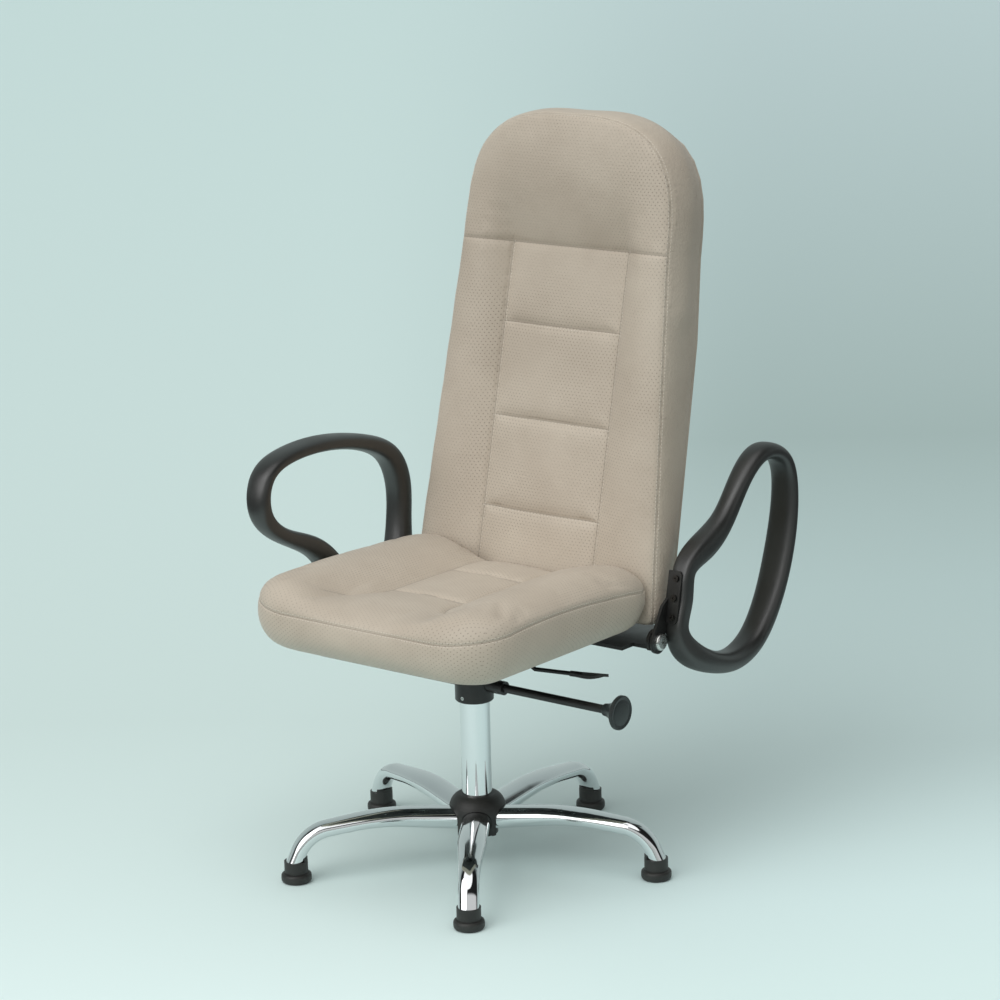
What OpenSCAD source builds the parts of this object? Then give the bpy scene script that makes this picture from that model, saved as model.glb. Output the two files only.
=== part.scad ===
// Ophthalmic examination chair: a high-backed upholstered seat on a gas column
// with a five-star tube base, a swivel brake, a height lever and two loop
// armrests that fold up beside the back.
// Millimetres. The origin is on the floor under the column's axis, +Z is up and
// the chair faces -Y, so +X is the side of the lever and the brake knob.
// The chair is drawn as it stands in use: seat at its lowest, the armrest on -X
// down in use and the armrest on +X folded back.

/* [Base] */
// Radius of the circle that the five feet stand on
foot_circle_r = 310; // [290:1:330]
// Radius of a foot's flange on the floor
foot_flange_r = 25; // [22:0.5:28]
// Height at which the flange's straight band starts
foot_band_z = 6; // [4:0.5:8]
// Height of the flange's straight band
foot_band_h = 5; // [3:0.5:6]
// Rounding of the flange under and over its band
foot_round = 5; // [3:0.5:6]
// Radius of the cup that holds the leg's end
foot_cup_r = 19.5; // [19:0.5:21]
// Height of the cup, up to the leg's end
foot_cup_h = 36; // [32:1:40]
// Height of the lip on the cup's inner side
foot_lip_h = 6; // [3:0.5:8]
// Thickness of that lip
foot_lip_t = 1.8; // [1.2:0.1:2]
// Step between the cup's wall and the lip
foot_lip_step = 0.3; // [0.2:0.1:0.6]
// Part of a turn, in degrees, that the lip covers
foot_lip_angle = 110; // [60:5:140]
// Radius of the pin at a leg's end, pressed into its foot
foot_pin_r = 10; // [8:0.5:12]
// Length of that pin
foot_pin_l = 20; // [12:1:24]
// Width of a leg tube at the hub
leg_w = 48; // [44:1:50]
// Height of a leg tube at the hub
leg_h = 38; // [34:1:40]
// Height of a leg tube where it bends down
leg_bend_h = 27; // [24:1:30]
// Width of a leg tube at its foot
leg_end_w = 34; // [30:1:34]
// Height of the leg's centre line at the hub
leg_root_z = 78.5; // [74:0.5:84]
// Distance from the axis to the leg's crest
leg_crest_reach = 165; // [150:1:180]
// Height of the crest's corner
leg_crest_z = 95.5; // [90:0.5:104]
// Rounding of the crest
leg_crest_bend_r = 400; // [300:10:500]
// Distance from a foot's axis in to the knee's corner
leg_knee_inset_l = 20; // [16:1:26]
// Height of the knee's corner
leg_knee_z = 81.5; // [78:0.5:88]
// Rounding of the knee
leg_knee_bend_r = 62; // [50:1:70]
// Distance that the leg's cut end is centred outside its foot's axis
leg_end_offset_l = 1; // [0:0.5:3]
// Radius of the hub's sleeve
hub_r = 33.5; // [33:0.5:36]
// Height of the hub's underside
hub_bottom_z = 50; // [46:1:52]
// Height of the hub's top
hub_top_z = 110; // [106:1:112]
// Radius of the opening in the hub's underside
hub_hole_r = 17; // [14:0.5:19]
// Radius of the spigots that carry the legs
spigot_r = 11; // [9:0.5:12]
// Reach of those spigots from the axis
spigot_reach = 54; // [50:1:58]
// Radius of the hub cover at its skirt
cover_r = 48; // [46:0.5:50]
// Radius of the hub cover at its top
cover_top_r = 28; // [27:0.5:29]
// Height of the cover's top
cover_top_z = 118; // [116:1:122]
// Height at which the cover's dome meets its skirt
cover_skirt_z = 88; // [84:1:92]
// Height of the cover's lower rim
cover_bottom_z = 55; // [52:1:58]
// Wall of the cover
cover_wall = 3; // [2.5:0.5:4]

/* [Column] */
// Radius of the chromed column tube
column_r = 25; // [24:0.5:26]
// Wall of the column tube
column_wall = 2; // [1.5:0.5:2.5]
// Height of the column tube's top
column_top_z = 300; // [290:1:306]
// Length of the guide bush in the column's top
bush_l = 70; // [50:1:90]
// Thickness of the plate at the column's bottom
bearing_plate_t = 6; // [5:0.5:8]
// Thickness of the thrust bearing
bearing_t = 6; // [4:0.5:8]
// Radius of the thrust bearing
bearing_r = 14; // [12:0.5:16]

/* [Gas lift] */
// Radius of the gas cylinder
gas_r = 14; // [13.5:0.1:14.5]
// Clearance between the cylinder's bottom and the rod's shoulder
gas_bottom_gap = 2; // [1:0.5:3]
// Height of the cylinder's top
gas_top_z = 357; // [355:0.5:358]
// Thickness of the gland at the cylinder's bottom
gland_t = 12; // [10:1:14]
// Radius of the cylinder's chamber
chamber_r = 11.5; // [11:0.1:12]
// Length of the chamber
chamber_l = 162; // [158:1:170]
// Travel of the seat
lift_stroke = 140; // [100:1:140]
// Radius of the piston rod
rod_r = 5; // [4:0.1:5.5]
// Radius of the rod's shoulder
rod_shoulder_r = 9; // [8:0.5:10]
// Thickness of the rod's shoulder
rod_shoulder_t = 3; // [2:0.5:4]
// Thickness of the piston
piston_t = 12; // [8:1:13]
// Gap above the piston when the seat is lowest
piston_top_gap = 2; // [1:0.5:4]
// Thickness of the clip that keeps the rod in the column
clip_t = 2; // [1.5:0.5:2.5]
// Depth of the rod's groove for that clip
clip_groove = 1; // [0.8:0.1:1.2]
// Length of the rod below the clip
rod_tail = 2; // [1:0.5:3]
// Radius of the valve pin
valve_r = 2.5; // [2:0.1:3]
// Length of the valve pin
valve_l = 60; // [50:1:80]
// Height that the valve pin stands out of the cylinder
valve_out = 3.5; // [3:0.1:4]

/* [Swivel brake] */
// Radius of the brake collar on the column
collar_r = 32; // [30:0.5:34]
// Height of the collar's underside
collar_bottom_z = 279; // [275:1:284]
// Height of the collar's top
collar_top_z = 322; // [320:0.5:323]
// Rounding of the collar's edges
collar_round = 2; // [1:0.5:3]
// Radius of the collar's upper bore, round the gas cylinder
collar_bore_r = 15; // [14.7:0.1:16]
// Height of the brake screw's axis
brake_z = 308.7; // [306:0.1:310]
// Radius of the boss that the brake screw goes through
boss_r = 11.5; // [11:0.5:12]
// Reach of the boss from the column's axis
boss_reach = 65; // [60:1:70]
// Radius of the brake screw
brake_rod_r = 7; // [6:0.1:7.5]
// Distance from the column's axis to the screw's inner end
brake_rod_start = 24; // [22:0.5:26]
// Distance from the column's axis to the screw's outer end
brake_rod_end = 276; // [270:1:280]
// Free gap between the brake shoe and the gas cylinder
shoe_gap = 0.55; // [0.3:0.05:0.8]
// Radius of the brake knob
knob_r = 28; // [26:0.5:28]
// Distance from the column's axis to the knob's face
knob_face_reach = 302; // [298:1:304]
// Thickness of the knob's rim
knob_rim_t = 8; // [6:0.5:10]
// Length of the knob's cone
knob_cone_l = 28; // [24:1:32]
// Radius of the knob's neck
knob_neck_r = 10; // [9:0.5:12]
// Rise of the knob's domed face
knob_dome = 3; // [2:0.5:4]
// Radius of a grub screw in the collar
grub_r = 3; // [2.5:0.5:4]
// Depth of the hexagon socket in a grub screw
grub_socket = 2; // [1:0.5:3]

/* [Release lever] */
// Direction of the lever, in degrees from +X towards +Y
lever_azimuth = 12.2; // [8:0.1:16]
// Distance from the column's axis to the lever's pivot
lever_pivot_reach = 34; // [32:1:36]
// Radius of the lever's wire
lever_r = 3.5; // [3:0.1:4]
// Height of the lever's grip
lever_grip_z = 343; // [342:0.5:346]
// Distance from the axis to the start of the lever's joggle
lever_joggle_start = 84; // [82:1:88]
// Distance from the axis to the end of the joggle
lever_joggle_end = 112; // [106:1:118]
// Distance from the axis to the wire's end in the grip
lever_wire_end = 192; // [186:1:196]
// Distance from the axis to the start of the grip
grip_start = 176; // [170:1:180]
// Distance from the axis to the grip's tip
grip_tip = 238; // [230:1:240]
// Width of the grip
grip_w = 19; // [16:0.5:22]
// Thickness of the grip
grip_t = 5; // [4.5:0.5:6]
// Radius of the lever's eye
eye_r = 7; // [6.5:0.5:8]
// Width of the lever's eye
eye_w = 12; // [10:0.5:14]
// Radius of the lever's pivot pin
lever_pin_r = 3; // [2.5:0.1:3.5]

/* [Seat mechanism] */
// Radius of the socket that takes the gas cylinder
socket_r = 22; // [20:0.5:24]
// Height of the socket's underside
socket_bottom_z = 326; // [324:0.5:328]
// Width of the mechanism box, along X
box_w = 150; // [140:1:160]
// Depth of the mechanism box, along Y
box_d = 120; // [110:1:130]
// Thickness of the box's plates
box_t = 4; // [3:0.5:5]
// Height of the mechanism's top face, where the cross plate rests
box_top_z = 376; // [374:0.5:378]
// Height of the box's deck, on top of the socket
deck_z = 352; // [350:0.5:353]
// Reach of the flange outside the box
flange_w = 22; // [18:1:26]
// Thickness of the cross plate
cross_t = 6; // [5:0.5:7]
// Y of the cross plate's front edge
cross_front_y = -90; // [-95:1:-80]
// Y of the front edge of the wide part under the armrests
wing_front_y = 98; // [94:1:104]
// Y of the front edge of the arms that carry the armrests
wing_arm_y = 128; // [124:1:130]
// Y of the cross plate's rear edge
cross_rear_y = 232; // [224:1:240]
// Half width of the cross plate's wide part
wing_w = 231; // [220:1:235]
// Half width of the cross plate in front
cross_w = 97; // [94:1:110]
// Radius of the cross plate's bolts
bolt_r = 4; // [3:0.5:4]
// Radius over the corners of the nut on a pivot bolt
pivot_nut_r = 6.5; // [6.2:0.1:6.8]
// Thickness of a bolt's head
bolt_head_t = 5; // [4:0.5:6]
// Radius of a bolt's head
bolt_head_r = 7; // [6:0.5:8]

/* [Seat] */
// Thickness of the seat board
board_t = 10; // [8:0.5:12]
// Half width of the seat board
board_w = 180; // [165:1:200]
// Y of the seat board's front edge
board_front_y = -212; // [-225:1:-200]
// Y of the seat board's rear edge
board_rear_y = 122; // [110:1:126]
// Rounding of the seat board's corners
board_round = 40; // [20:1:60]
// Half width of the seat cushion at its seam
seat_w = 250; // [240:1:252]
// Outward swell of the cushion's sides
seat_swell = 4; // [2:0.5:5]
// Y of the seat cushion's front
seat_front_y = -292; // [-300:1:-270]
// Y of the seat cushion's rear
seat_rear_y = 140.2; // [135:0.1:140.4]
// Plan rounding of the seat's front corners, across
seat_corner_w = 105; // [80:1:120]
// Plan rounding of the seat's front corners, along
seat_corner_d = 84; // [60:1:100]
// Plan rounding of the seat's rear corners
seat_rear_round = 24; // [16:1:32]
// Height of the seat's seam above the floor
seat_seam_z = 470; // [464:1:476]
// Rounding of the cushion's lower edge
seat_under_round = 40; // [30:1:46]
// Rise of the side bolsters above the seam
seat_bolster_h = 40; // [26:1:44]
// Rise of the front roll above the seam
seat_roll_h = 17; // [12:1:22]
// Height over which the cushion's front rises to its full height
seat_front_round = 60; // [40:1:80]
// Extra height of the seam at the middle of the seat's sides
seat_seam_arch_h = 17; // [8:1:22]
// Half width of the seat's sunken centre panel
seat_panel_w = 76; // [66:1:90]
// Half width of that panel at its front edge
seat_panel_front_w = 128; // [110:1:140]
// Half width of the back's sunken centre panel
panel_w = 120; // [110:1:130]
// Half width at the crest of the bolsters
bolster_w = 186; // [175:1:195]
// Depth of the centre panel below the bolsters
seat_panel_drop = 30; // [20:1:34]
// Y of the centre panel's front edge
seat_panel_y = -205; // [-215:1:-190]
// Depth of the sewn channels
channel_depth = 5; // [3:0.5:7]
// Half width of a sewn channel
channel_w = 13; // [8:1:16]
// Y of the front sewn channel
channel_front_y = -108; // [-115:1:-95]
// Y of the rear sewn channel
channel_rear_y = 42; // [34:1:50]

/* [Backrest] */
// Lean of the back's front face, in degrees from upright
back_lean = 10.8; // [8:0.1:14]
// Y of the front face's lower end
back_y = 150; // [149:0.5:156]
// Height of the front face's lower end
back_z = 408; // [404:1:412]
// Length of the back along its lean
back_l = 818; // [780:1:840]
// Half width of the back at its bottom
back_w = 256; // [245:1:256]
// Half width of the back at its headrest seam
back_head_w = 216; // [205:1:225]
// Distance along the back to the headrest seam
head_seam_reach = 598; // [580:1:620]
// Thickness of the back at its bottom
back_foot_t = 62; // [55:1:70]
// Thickness of the back at its shoulders
back_shoulder_t = 105; // [95:1:115]
// Distance along the back to the shoulders
shoulder_reach = 460; // [420:1:500]
// Thickness of the back at its top
back_top_t = 92; // [70:1:100]
// Distance that the top of the front face comes forward over the headrest
back_top_forward = 18; // [10:1:24]
// Rise of the back's top between the front seam and the rear
back_crown = 8; // [3:1:10]
// Outward swell of the back's sides
back_swell = 2; // [1:0.5:3]
// Depth of the centre panel at the headrest seam
back_panel_drop = 22; // [16:1:30]
// Depth of the centre panel at the bottom of the back
back_panel_foot = 2; // [0:1:6]
// Forward swell of the back's bolsters
back_bolster_h = 10; // [6:1:16]
// Forward swell of the centre panel
back_puff = 8; // [4:1:12]
// Forward swell of the headrest
head_puff = 15; // [10:1:24]
// Height over which the headrest fills out above its seam
head_roll_l = 110; // [80:5:130]
// Distances along the back to its sewn channels
back_channel_reach = [152, 306, 464];
// Depth of the back's channels
back_channel_depth = 6; // [4:0.5:8]
// Thickness of the rear panel
rear_panel_t = 12; // [10:0.5:14]
// Distance that the rear panel stays inside the cushion's outline
rear_panel_inset = 5; // [3:0.5:10]
// Width of the bar that carries the back
bar_w = 80; // [60:1:90]
// Thickness of that bar
bar_t = 8; // [6:0.5:9]
// Inner radius of the bar's bend
bar_bend_r = 20; // [16:1:30]
// Y of the bar's front end under the seat
bar_front_y = 84; // [83:1:90]
// Distance along the back to the bar's upper end
bar_top_reach = 300; // [260:1:340]
// Distances along the back to the bar's bolts
bar_bolt_reach = [120, 262];

/* [Armrests] */
// Y of the armrests' pivots
pivot_y = 139; // [137:0.5:141]
// Height of the armrests' pivots
pivot_z = 388; // [386:0.5:390]
// Angle that an armrest folds through, in degrees
fold_angle = 102.3; // [95:0.1:108]
// Distance from the middle of the chair to the inner face of an armrest
arm_inner_x = 270.5; // [270:0.5:272]
// Reach of an armrest in front of its pivot
arm_reach = 323; // [310:1:340]
// Rise of an armrest's pad above its pivot
arm_rise = 299; // [290:1:312]
// Width and thickness of the armrest's pad
pad_size = [52, 25];
// Width and thickness of the armrest's front curve
front_size = [44, 27];
// Width and thickness of the armrest's lower sweep
sweep_size = [40, 31];
// Width and thickness of the armrest's mounting run
mount_size = [34, 28];
// Width and thickness of the armrest's rear bar
rear_size = [46, 38];
// Thickness of the armrest hinge's steel
hinge_t = 5; // [4:0.5:6]
// Radius of the hinge's round end
hinge_r = 20; // [19:0.5:21]
// Depth of the flat on the armrest where its hinge is screwed
hinge_seat = 0.6; // [0.4:0.1:1]
// Width of the hinge's flange under the armrest
hinge_flange_w = 26; // [22:1:30]
// Y of the hinge flange's rear end
hinge_rear_y = 108; // [104:1:112]
// Y of the hinge flange's front end
hinge_front_y = 22; // [18:1:30]
// Y of the hinge web's front end
hinge_web_y = 62; // [55:1:75]
// Thickness of the ears on the cross plate
ear_t = 6; // [5:0.5:6]
// Thickness of the plastic washer in an armrest hinge
washer_t = 1.5; // [1:0.5:2]
// Radius of the pivot bolt
pivot_r = 5; // [4:0.5:5]
// Radius of the pivot bolt's head
pivot_head_r = 14; // [12:0.5:14.5]
// Thickness of the pivot bolt's head
pivot_head_t = 8; // [6:0.5:9]
// Radius of the hexagon socket in that head
pivot_socket_r = 3.5; // [3:0.5:5]
// Radius of the stop pin
stop_r = 2.5; // [2:0.1:2.6]
// Distance from the pivot to the stop pin
stop_reach = 13; // [12.5:0.1:13.5]
// Radius of an armrest screw
arm_screw_r = 3; // [2.5:0.5:3.5]
// Radius of an armrest screw's head
arm_screw_head_r = 5.5; // [5:0.5:6]
// Thickness of an armrest screw's head
arm_screw_head_t = 3.5; // [3:0.5:4]
// Depth of an armrest screw in the armrest
arm_screw_l = 20; // [14:1:24]
// Y of the three armrest screws
arm_screw_y = [34, 66, 98];

/* [Fits] */
// Radial clearance of a running fit
running_gap = 0.05; // [0.02:0.01:0.1]
// Clearance round a leg in the hub cover
cover_gap = 0.6; // [0.4:0.1:1]
// Overrun of a cut past the face it opens
cut = 1; // [0.5:0.1:2]

/* [Hidden] */

black_steel = "#232426";
black_plastic = "#2a2a2b";
chrome_steel = "#cfd2d4";
leatherette = "#bdb0a0";

// Corners of an armrest's centre line, as shares of its reach and rise from the pivot
arm_corner_shares = [[0.05, 0.102], [0.11, 0.822], [-0.426, 1], [-1, 1], [-1, 0.622],
    [-0.595, 0.385], [-0.457, 0.102]];
// Rounding of those corners, as shares of the rise
arm_round_shares = [0.112, 0.247, 0.987, 0.224, 0.164, 0.23, 0.132];
// Sizes of the straight runs, each from its own corner to the next
arm_runs = [rear_size, pad_size, pad_size, front_size, sweep_size, mount_size, mount_size];
// How square the runs' sections are
arm_powers = [2.6, 2.6, 2.6, 2.4, 2.6, 4, 4];
// Direction from the pivot to the stop pin, in degrees from +Y towards +Z
stop_angle = 40;
leg_count = 5;
leg_step = 360 / leg_count;
leg_knee_reach = foot_circle_r - leg_knee_inset_l;
leg_end_reach = foot_circle_r + leg_end_offset_l;
column_bottom_z = hub_bottom_z + box_t;
bearing_z = column_bottom_z + bearing_plate_t;
shoulder_z = bearing_z + bearing_t;
gas_bottom_z = shoulder_z + rod_shoulder_t + gas_bottom_gap;
chamber_z = gas_bottom_z + gland_t;
piston_z = chamber_z + chamber_l - piston_top_gap - piston_t;
clip_z = column_bottom_z - clip_t - clip_groove / 2;
valve_top_z = gas_top_z + valve_out;
lever_z = valve_top_z + lever_r;
cross_z = box_top_z;
board_z = cross_z + cross_t;
seat_z = board_z + board_t;
ear_x = arm_inner_x - washer_t - ear_t;
ear_rear_y = pivot_y + 1.2 * hinge_r;
arm_x = arm_inner_x + mount_size[0] / 2;
arm_under_z = pivot_z + arm_rise * arm_corner_shares[6][1] - mount_size[1] / 2 + hinge_seat;
bar_angle = back_lean + atan((back_shoulder_t - back_foot_t) / shoulder_reach);

// Smooth step from 0 to 1 while v goes from a to b
function ease(a, b, v) = let (t = min(1, max(0, (v - a) / (b - a)))) t * t * (3 - 2 * t);
function mix(a, b, t) = a + (b - a) * t;
// Quarter-ellipse rise from 0 to 1 while t goes from 0 to 1
function rise(t) = let (u = min(1, max(0, t))) sqrt(1 - (1 - u) * (1 - u));
function unit(v) = v / norm(v);

// Arc points [x, y, heading] that round the corner c between the points p and n
function corner_arc(p, c, n, r, steps) =
    let (u = unit(c - p), v = unit(n - c))
    let (bend = atan2(u.x * v.y - u.y * v.x, u * v), side = sign(bend))
    let (start = c - u * r * tan(abs(bend) / 2), centre = start + side * r * [-u.y, u.x])
    [for (i = [0:steps]) let (a = atan2(u.y, u.x) + bend * i / steps)
        [centre.x + side * r * sin(a), centre.y - side * r * cos(a), a]];

// Closed section, w wide and t thick, as a superellipse with n points
function section(w, t, power, n) = [for (i = [0:n - 1]) let (a = 360 * (i + 0.5) / n)
    [w / 2 * sign(cos(a)) * pow(abs(cos(a)), 2 / power),
     t / 2 * sign(sin(a)) * pow(abs(sin(a)), 2 / power)]];

// Faces between consecutive rings of n points; a closed loop joins its last ring to its first
function ring_faces(rings, n, closed)
    = [for (k = [0:rings - (closed ? 1 : 2)], i = [0:n - 1], half = [0, 1])
    let (a = k * n + i, b = k * n + (i + 1) % n)
    let (c = ((k + 1) % rings) * n + i, d = ((k + 1) % rings) * n + (i + 1) % n)
    half == 0 ? [a, c, b] : [b, c, d]];

// Skin over a list of rings that all have the same number of points; an open skin's ends
// are fans round the middles of its end rings
module skin(rings, closed = false) {
    n = len(rings[0]);
    m = len(rings) * n;
    last = m - n;
    fans = closed ? [] : [for (i = [0:n - 1], end = [0, 1]) let (j = (i + 1) % n)
        end == 0 ? [i, j, m] : [last + j, last + i, m + 1]];
    middles = closed ? [] : [middle(rings[0]), middle(rings[len(rings) - 1])];
    polyhedron(concat([for (r = rings, p = r) p], middles), concat(ring_faces(len(rings), n, closed), fans),
        convexity = 8);
}

function middle(ring) = [for (p = ring) 1] * ring / len(ring);

module rounded_plate(x0, x1, y0, y1, r, t) {
    linear_extrude(t) {
        translate([x0 + r, y0]) square([x1 - x0 - 2 * r, y1 - y0]);
        translate([x0, y0 + r]) square([x1 - x0, y1 - y0 - 2 * r]);
        for (x = [x0 + r, x1 - r], y = [y0 + r, y1 - r]) translate([x, y]) circle(r = r, $fn = 64);
    }
}

module tube(r, hole_r, z, l) {
    translate([0, 0, z]) difference() {
        cylinder(r = r, h = l, $fn = 96);
        translate([0, 0, -cut]) cylinder(r = hole_r, h = l + 2 * cut, $fn = 96);
    }
}

// A cylinder along +X from x, at height z
module rod_x(r, x, l, z) {
    translate([x, 0, z]) rotate([0, 90, 0]) cylinder(r = r, h = l, $fn = 64);
}

// Base: the steel hub, its cover, five legs and five feet

function leg_turn(i) = 36 + leg_step * (i - 1);

// Puts a piece that is drawn towards +X on leg i
module on_leg(i) {
    rotate([0, 0, leg_turn(i) - 90]) children();
}

module base_hub() {
    spigot_root = (column_r + hub_r) / 2;
    color(black_steel) difference() {
        union() {
            translate([0, 0, hub_bottom_z]) cylinder(r = hub_r, h = hub_top_z - hub_bottom_z, $fn = 96);
            for (i = [1:leg_count]) on_leg(i)
                rod_x(spigot_r, spigot_root, spigot_reach - spigot_root, leg_root_z);
        }
        translate([0, 0, column_bottom_z]) cylinder(r = column_r, h = hub_top_z, $fn = 96);
        translate([0, 0, hub_bottom_z - cut]) cylinder(r = hub_hole_r, h = hub_top_z, $fn = 96);
    }
}

leg_path = concat(
    [[hub_r + cover_gap, leg_root_z, 0]],
    corner_arc([hub_r, leg_root_z], [leg_crest_reach, leg_crest_z], [leg_knee_reach, leg_knee_z],
        leg_crest_bend_r, 8),
    corner_arc([leg_crest_reach, leg_crest_z], [leg_knee_reach, leg_knee_z],
        [leg_end_reach, foot_cup_h], leg_knee_bend_r, 10),
    [let (down = unit([leg_end_reach - leg_knee_reach, foot_cup_h - leg_knee_z]))
        [leg_end_reach + down.x * leg_end_w / 2, foot_cup_h + down.y * leg_end_w / 2,
            atan2(down.y, down.x)]]
);

// Section of the leg at reach r from the axis, square to its centre line
function leg_ring(p) =
    let (h = mix(leg_h, leg_bend_h, ease(hub_r, leg_crest_reach + leg_w, p.x)))
    let (w = mix(leg_w, leg_end_w, ease(leg_crest_reach, leg_end_reach, p.x)))
    [for (s = section(w, h, 2.2, 28)) [p.x - s.y * sin(p[2]), s.x, p.y + s.y * cos(p[2])]];

module leg(i) {
    color(chrome_steel) on_leg(i) {
        difference() {
            skin([for (p = leg_path) leg_ring(p)]);
            translate([0, -leg_w, foot_cup_h - 2 * leg_w])
                cube([2 * foot_circle_r, 2 * leg_w, 2 * leg_w]);
            rod_x(spigot_r, 0, spigot_reach + cut, leg_root_z);
        }
        translate([foot_circle_r, 0, foot_cup_h - foot_pin_l])
            cylinder(r = foot_pin_r, h = foot_pin_l, $fn = 48);
    }
}

module foot(i) {
    band_top = foot_band_z + foot_band_h;
    color(black_plastic) on_leg(i) translate([foot_circle_r, 0, 0]) {
        difference() {
            rotate_extrude($fn = 96) polygon(concat(
                [[0, 0], [foot_flange_r - foot_round, 0]],
                [for (a = [10:20:90]) [foot_flange_r - foot_round + foot_round * sin(a),
                    foot_band_z * (1 - cos(a))]],
                [[foot_flange_r, foot_band_z], [foot_flange_r, band_top]],
                [for (a = [20:20:80]) [foot_flange_r - foot_round + foot_round * cos(a),
                    band_top + foot_round * sin(a)]],
                [[foot_cup_r, band_top + foot_round], [foot_cup_r, foot_cup_h], [0, foot_cup_h]]
            ));
            translate([0, 0, foot_cup_h - foot_pin_l])
                cylinder(r = foot_pin_r, h = foot_pin_l + cut, $fn = 48);
        }
        rotate([0, 0, 180 - foot_lip_angle / 2]) rotate_extrude(angle = foot_lip_angle, $fn = 96)
            translate([foot_cup_r - foot_lip_t - foot_lip_step, foot_cup_h])
                square([foot_lip_t, foot_lip_h]);
    }
}

module hub_cover() {
    dome_h = cover_top_z - cover_skirt_z;
    dome_w = cover_r - cover_top_r;
    inner_h = hub_top_z - cover_skirt_z;
    inner_w = cover_r - cover_wall - hub_r - cover_gap;
    color(black_plastic) difference() {
        rotate_extrude($fn = 120) polygon(concat(
            [[column_r + running_gap, hub_top_z], [column_r + running_gap, cover_top_z]],
            [for (a = [0:10:90]) [cover_top_r + dome_w * sin(a), cover_skirt_z + dome_h * cos(a)]],
            [[cover_r, cover_bottom_z], [cover_r - cover_wall, cover_bottom_z]],
            [for (a = [90:-15:0]) [hub_r + cover_gap + inner_w * sin(a),
                cover_skirt_z + inner_h * cos(a)]]
        ));
        for (i = [1:leg_count]) on_leg(i) {
            translate([hub_r, 0, leg_root_z + cover_gap]) rotate([90, 0, 90]) linear_extrude(cover_r)
                polygon(section(leg_w + 2 * cover_gap, leg_h + 4 * cover_gap, 2.2, 40));
            translate([hub_r, -leg_w / 2 - cover_gap, 0])
                cube([cover_r, leg_w + 2 * cover_gap, leg_root_z]);
        }
    }
}

// Column: the chromed tube, its guide bush and the bearing at its bottom

module column_tube() {
    color(chrome_steel) tube(column_r, column_r - column_wall, column_bottom_z,
        column_top_z - column_bottom_z);
}

module column_bush() {
    color(black_plastic) tube(column_r - column_wall, gas_r + running_gap, column_top_z - bush_l, bush_l);
}

module bearing_plate() {
    color(chrome_steel) tube(column_r - column_wall, rod_r + running_gap, column_bottom_z,
        bearing_plate_t);
}

module thrust_bearing() {
    color(chrome_steel) tube(bearing_r, rod_r + running_gap, bearing_z, bearing_t);
}

// Gas lift: the rod that stands on the bearing and the cylinder that rises on it

module piston_rod() {
    rod_bottom = clip_z - rod_tail;
    color(chrome_steel) difference() {
        union() {
            translate([0, 0, rod_bottom]) cylinder(r = rod_r, h = piston_z - rod_bottom, $fn = 48);
            translate([0, 0, shoulder_z]) cylinder(r = rod_shoulder_r, h = rod_shoulder_t, $fn = 64);
            translate([0, 0, piston_z]) cylinder(r = chamber_r - running_gap, h = piston_t, $fn = 64);
        }
        tube(rod_r + cut, rod_r - clip_groove, clip_z, clip_t);
    }
}

module rod_clip() {
    color(black_steel) tube(rod_shoulder_r, rod_r - clip_groove, clip_z, clip_t);
}

module gas_cylinder() {
    color(black_steel) difference() {
        translate([0, 0, gas_bottom_z]) cylinder(r = gas_r, h = gas_top_z - gas_bottom_z, $fn = 96);
        translate([0, 0, gas_bottom_z - cut])
            cylinder(r = rod_r + running_gap, h = gland_t + 2 * cut, $fn = 48);
        translate([0, 0, chamber_z]) cylinder(r = chamber_r, h = chamber_l, $fn = 64);
        translate([0, 0, chamber_z + chamber_l - cut])
            cylinder(r = valve_r + running_gap, h = gas_top_z - chamber_z, $fn = 48);
    }
}

module valve_pin() {
    color(chrome_steel) translate([0, 0, valve_top_z - valve_l])
        cylinder(r = valve_r, h = valve_l, $fn = 48);
}

// Swivel brake: a collar clamped on the column and a screw that pushes a shoe onto the cylinder

module on_grub(azimuth, z) {
    rotate([0, 0, azimuth - 90]) translate([0, 0, z]) children();
}

grub_azimuths = [0, 69];
grub_z = [column_top_z - 4 * grub_r, collar_top_z - 2.4 * grub_r];
grub_tip = [column_r, collar_bore_r + 3 * grub_r];

module brake_collar() {
    h = collar_top_z - collar_bottom_z;
    color(black_steel) difference() {
        union() {
            translate([0, 0, collar_bottom_z]) rotate_extrude($fn = 96) polygon(concat(
                [[0, 0], [collar_r - collar_round, 0], [collar_r, collar_round]],
                [for (a = [0:15:90]) [collar_r - collar_round * (1 - cos(a)),
                    h - collar_round * (1 - sin(a))]],
                [[0, h]]
            ));
            rod_x(boss_r, 0, boss_reach, brake_z);
        }
        translate([0, 0, collar_bottom_z - cut])
            cylinder(r = column_r, h = column_top_z - collar_bottom_z + cut, $fn = 96);
        translate([0, 0, collar_bottom_z]) cylinder(r = collar_bore_r, h = h + cut, $fn = 96);
        rod_x(brake_rod_r + running_gap, 0, boss_reach + cut, brake_z);
        for (k = [0, 1]) on_grub(grub_azimuths[k], grub_z[k])
            rod_x(grub_r, grub_tip[k], collar_r - grub_tip[k] + cut, 0);
    }
}

module collar_grub_screws() {
    color(chrome_steel) for (k = [0, 1]) on_grub(grub_azimuths[k], grub_z[k]) difference() {
        rod_x(grub_r, grub_tip[k], collar_r - grub_tip[k], 0);
        translate([collar_r - grub_socket, 0, 0]) rotate([0, 90, 0])
            cylinder(r = grub_r / 2, h = grub_socket + cut, $fn = 6);
    }
}

module brake_shoe() {
    color(chrome_steel) difference() {
        rod_x(brake_rod_r, gas_r / 2, brake_rod_start - gas_r / 2, brake_z);
        translate([0, 0, brake_z - boss_r]) cylinder(r = gas_r + shoe_gap, h = 2 * boss_r, $fn = 96);
    }
}

module brake_screw() {
    color(black_steel) rod_x(brake_rod_r, brake_rod_start, brake_rod_end - brake_rod_start, brake_z);
}

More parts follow.
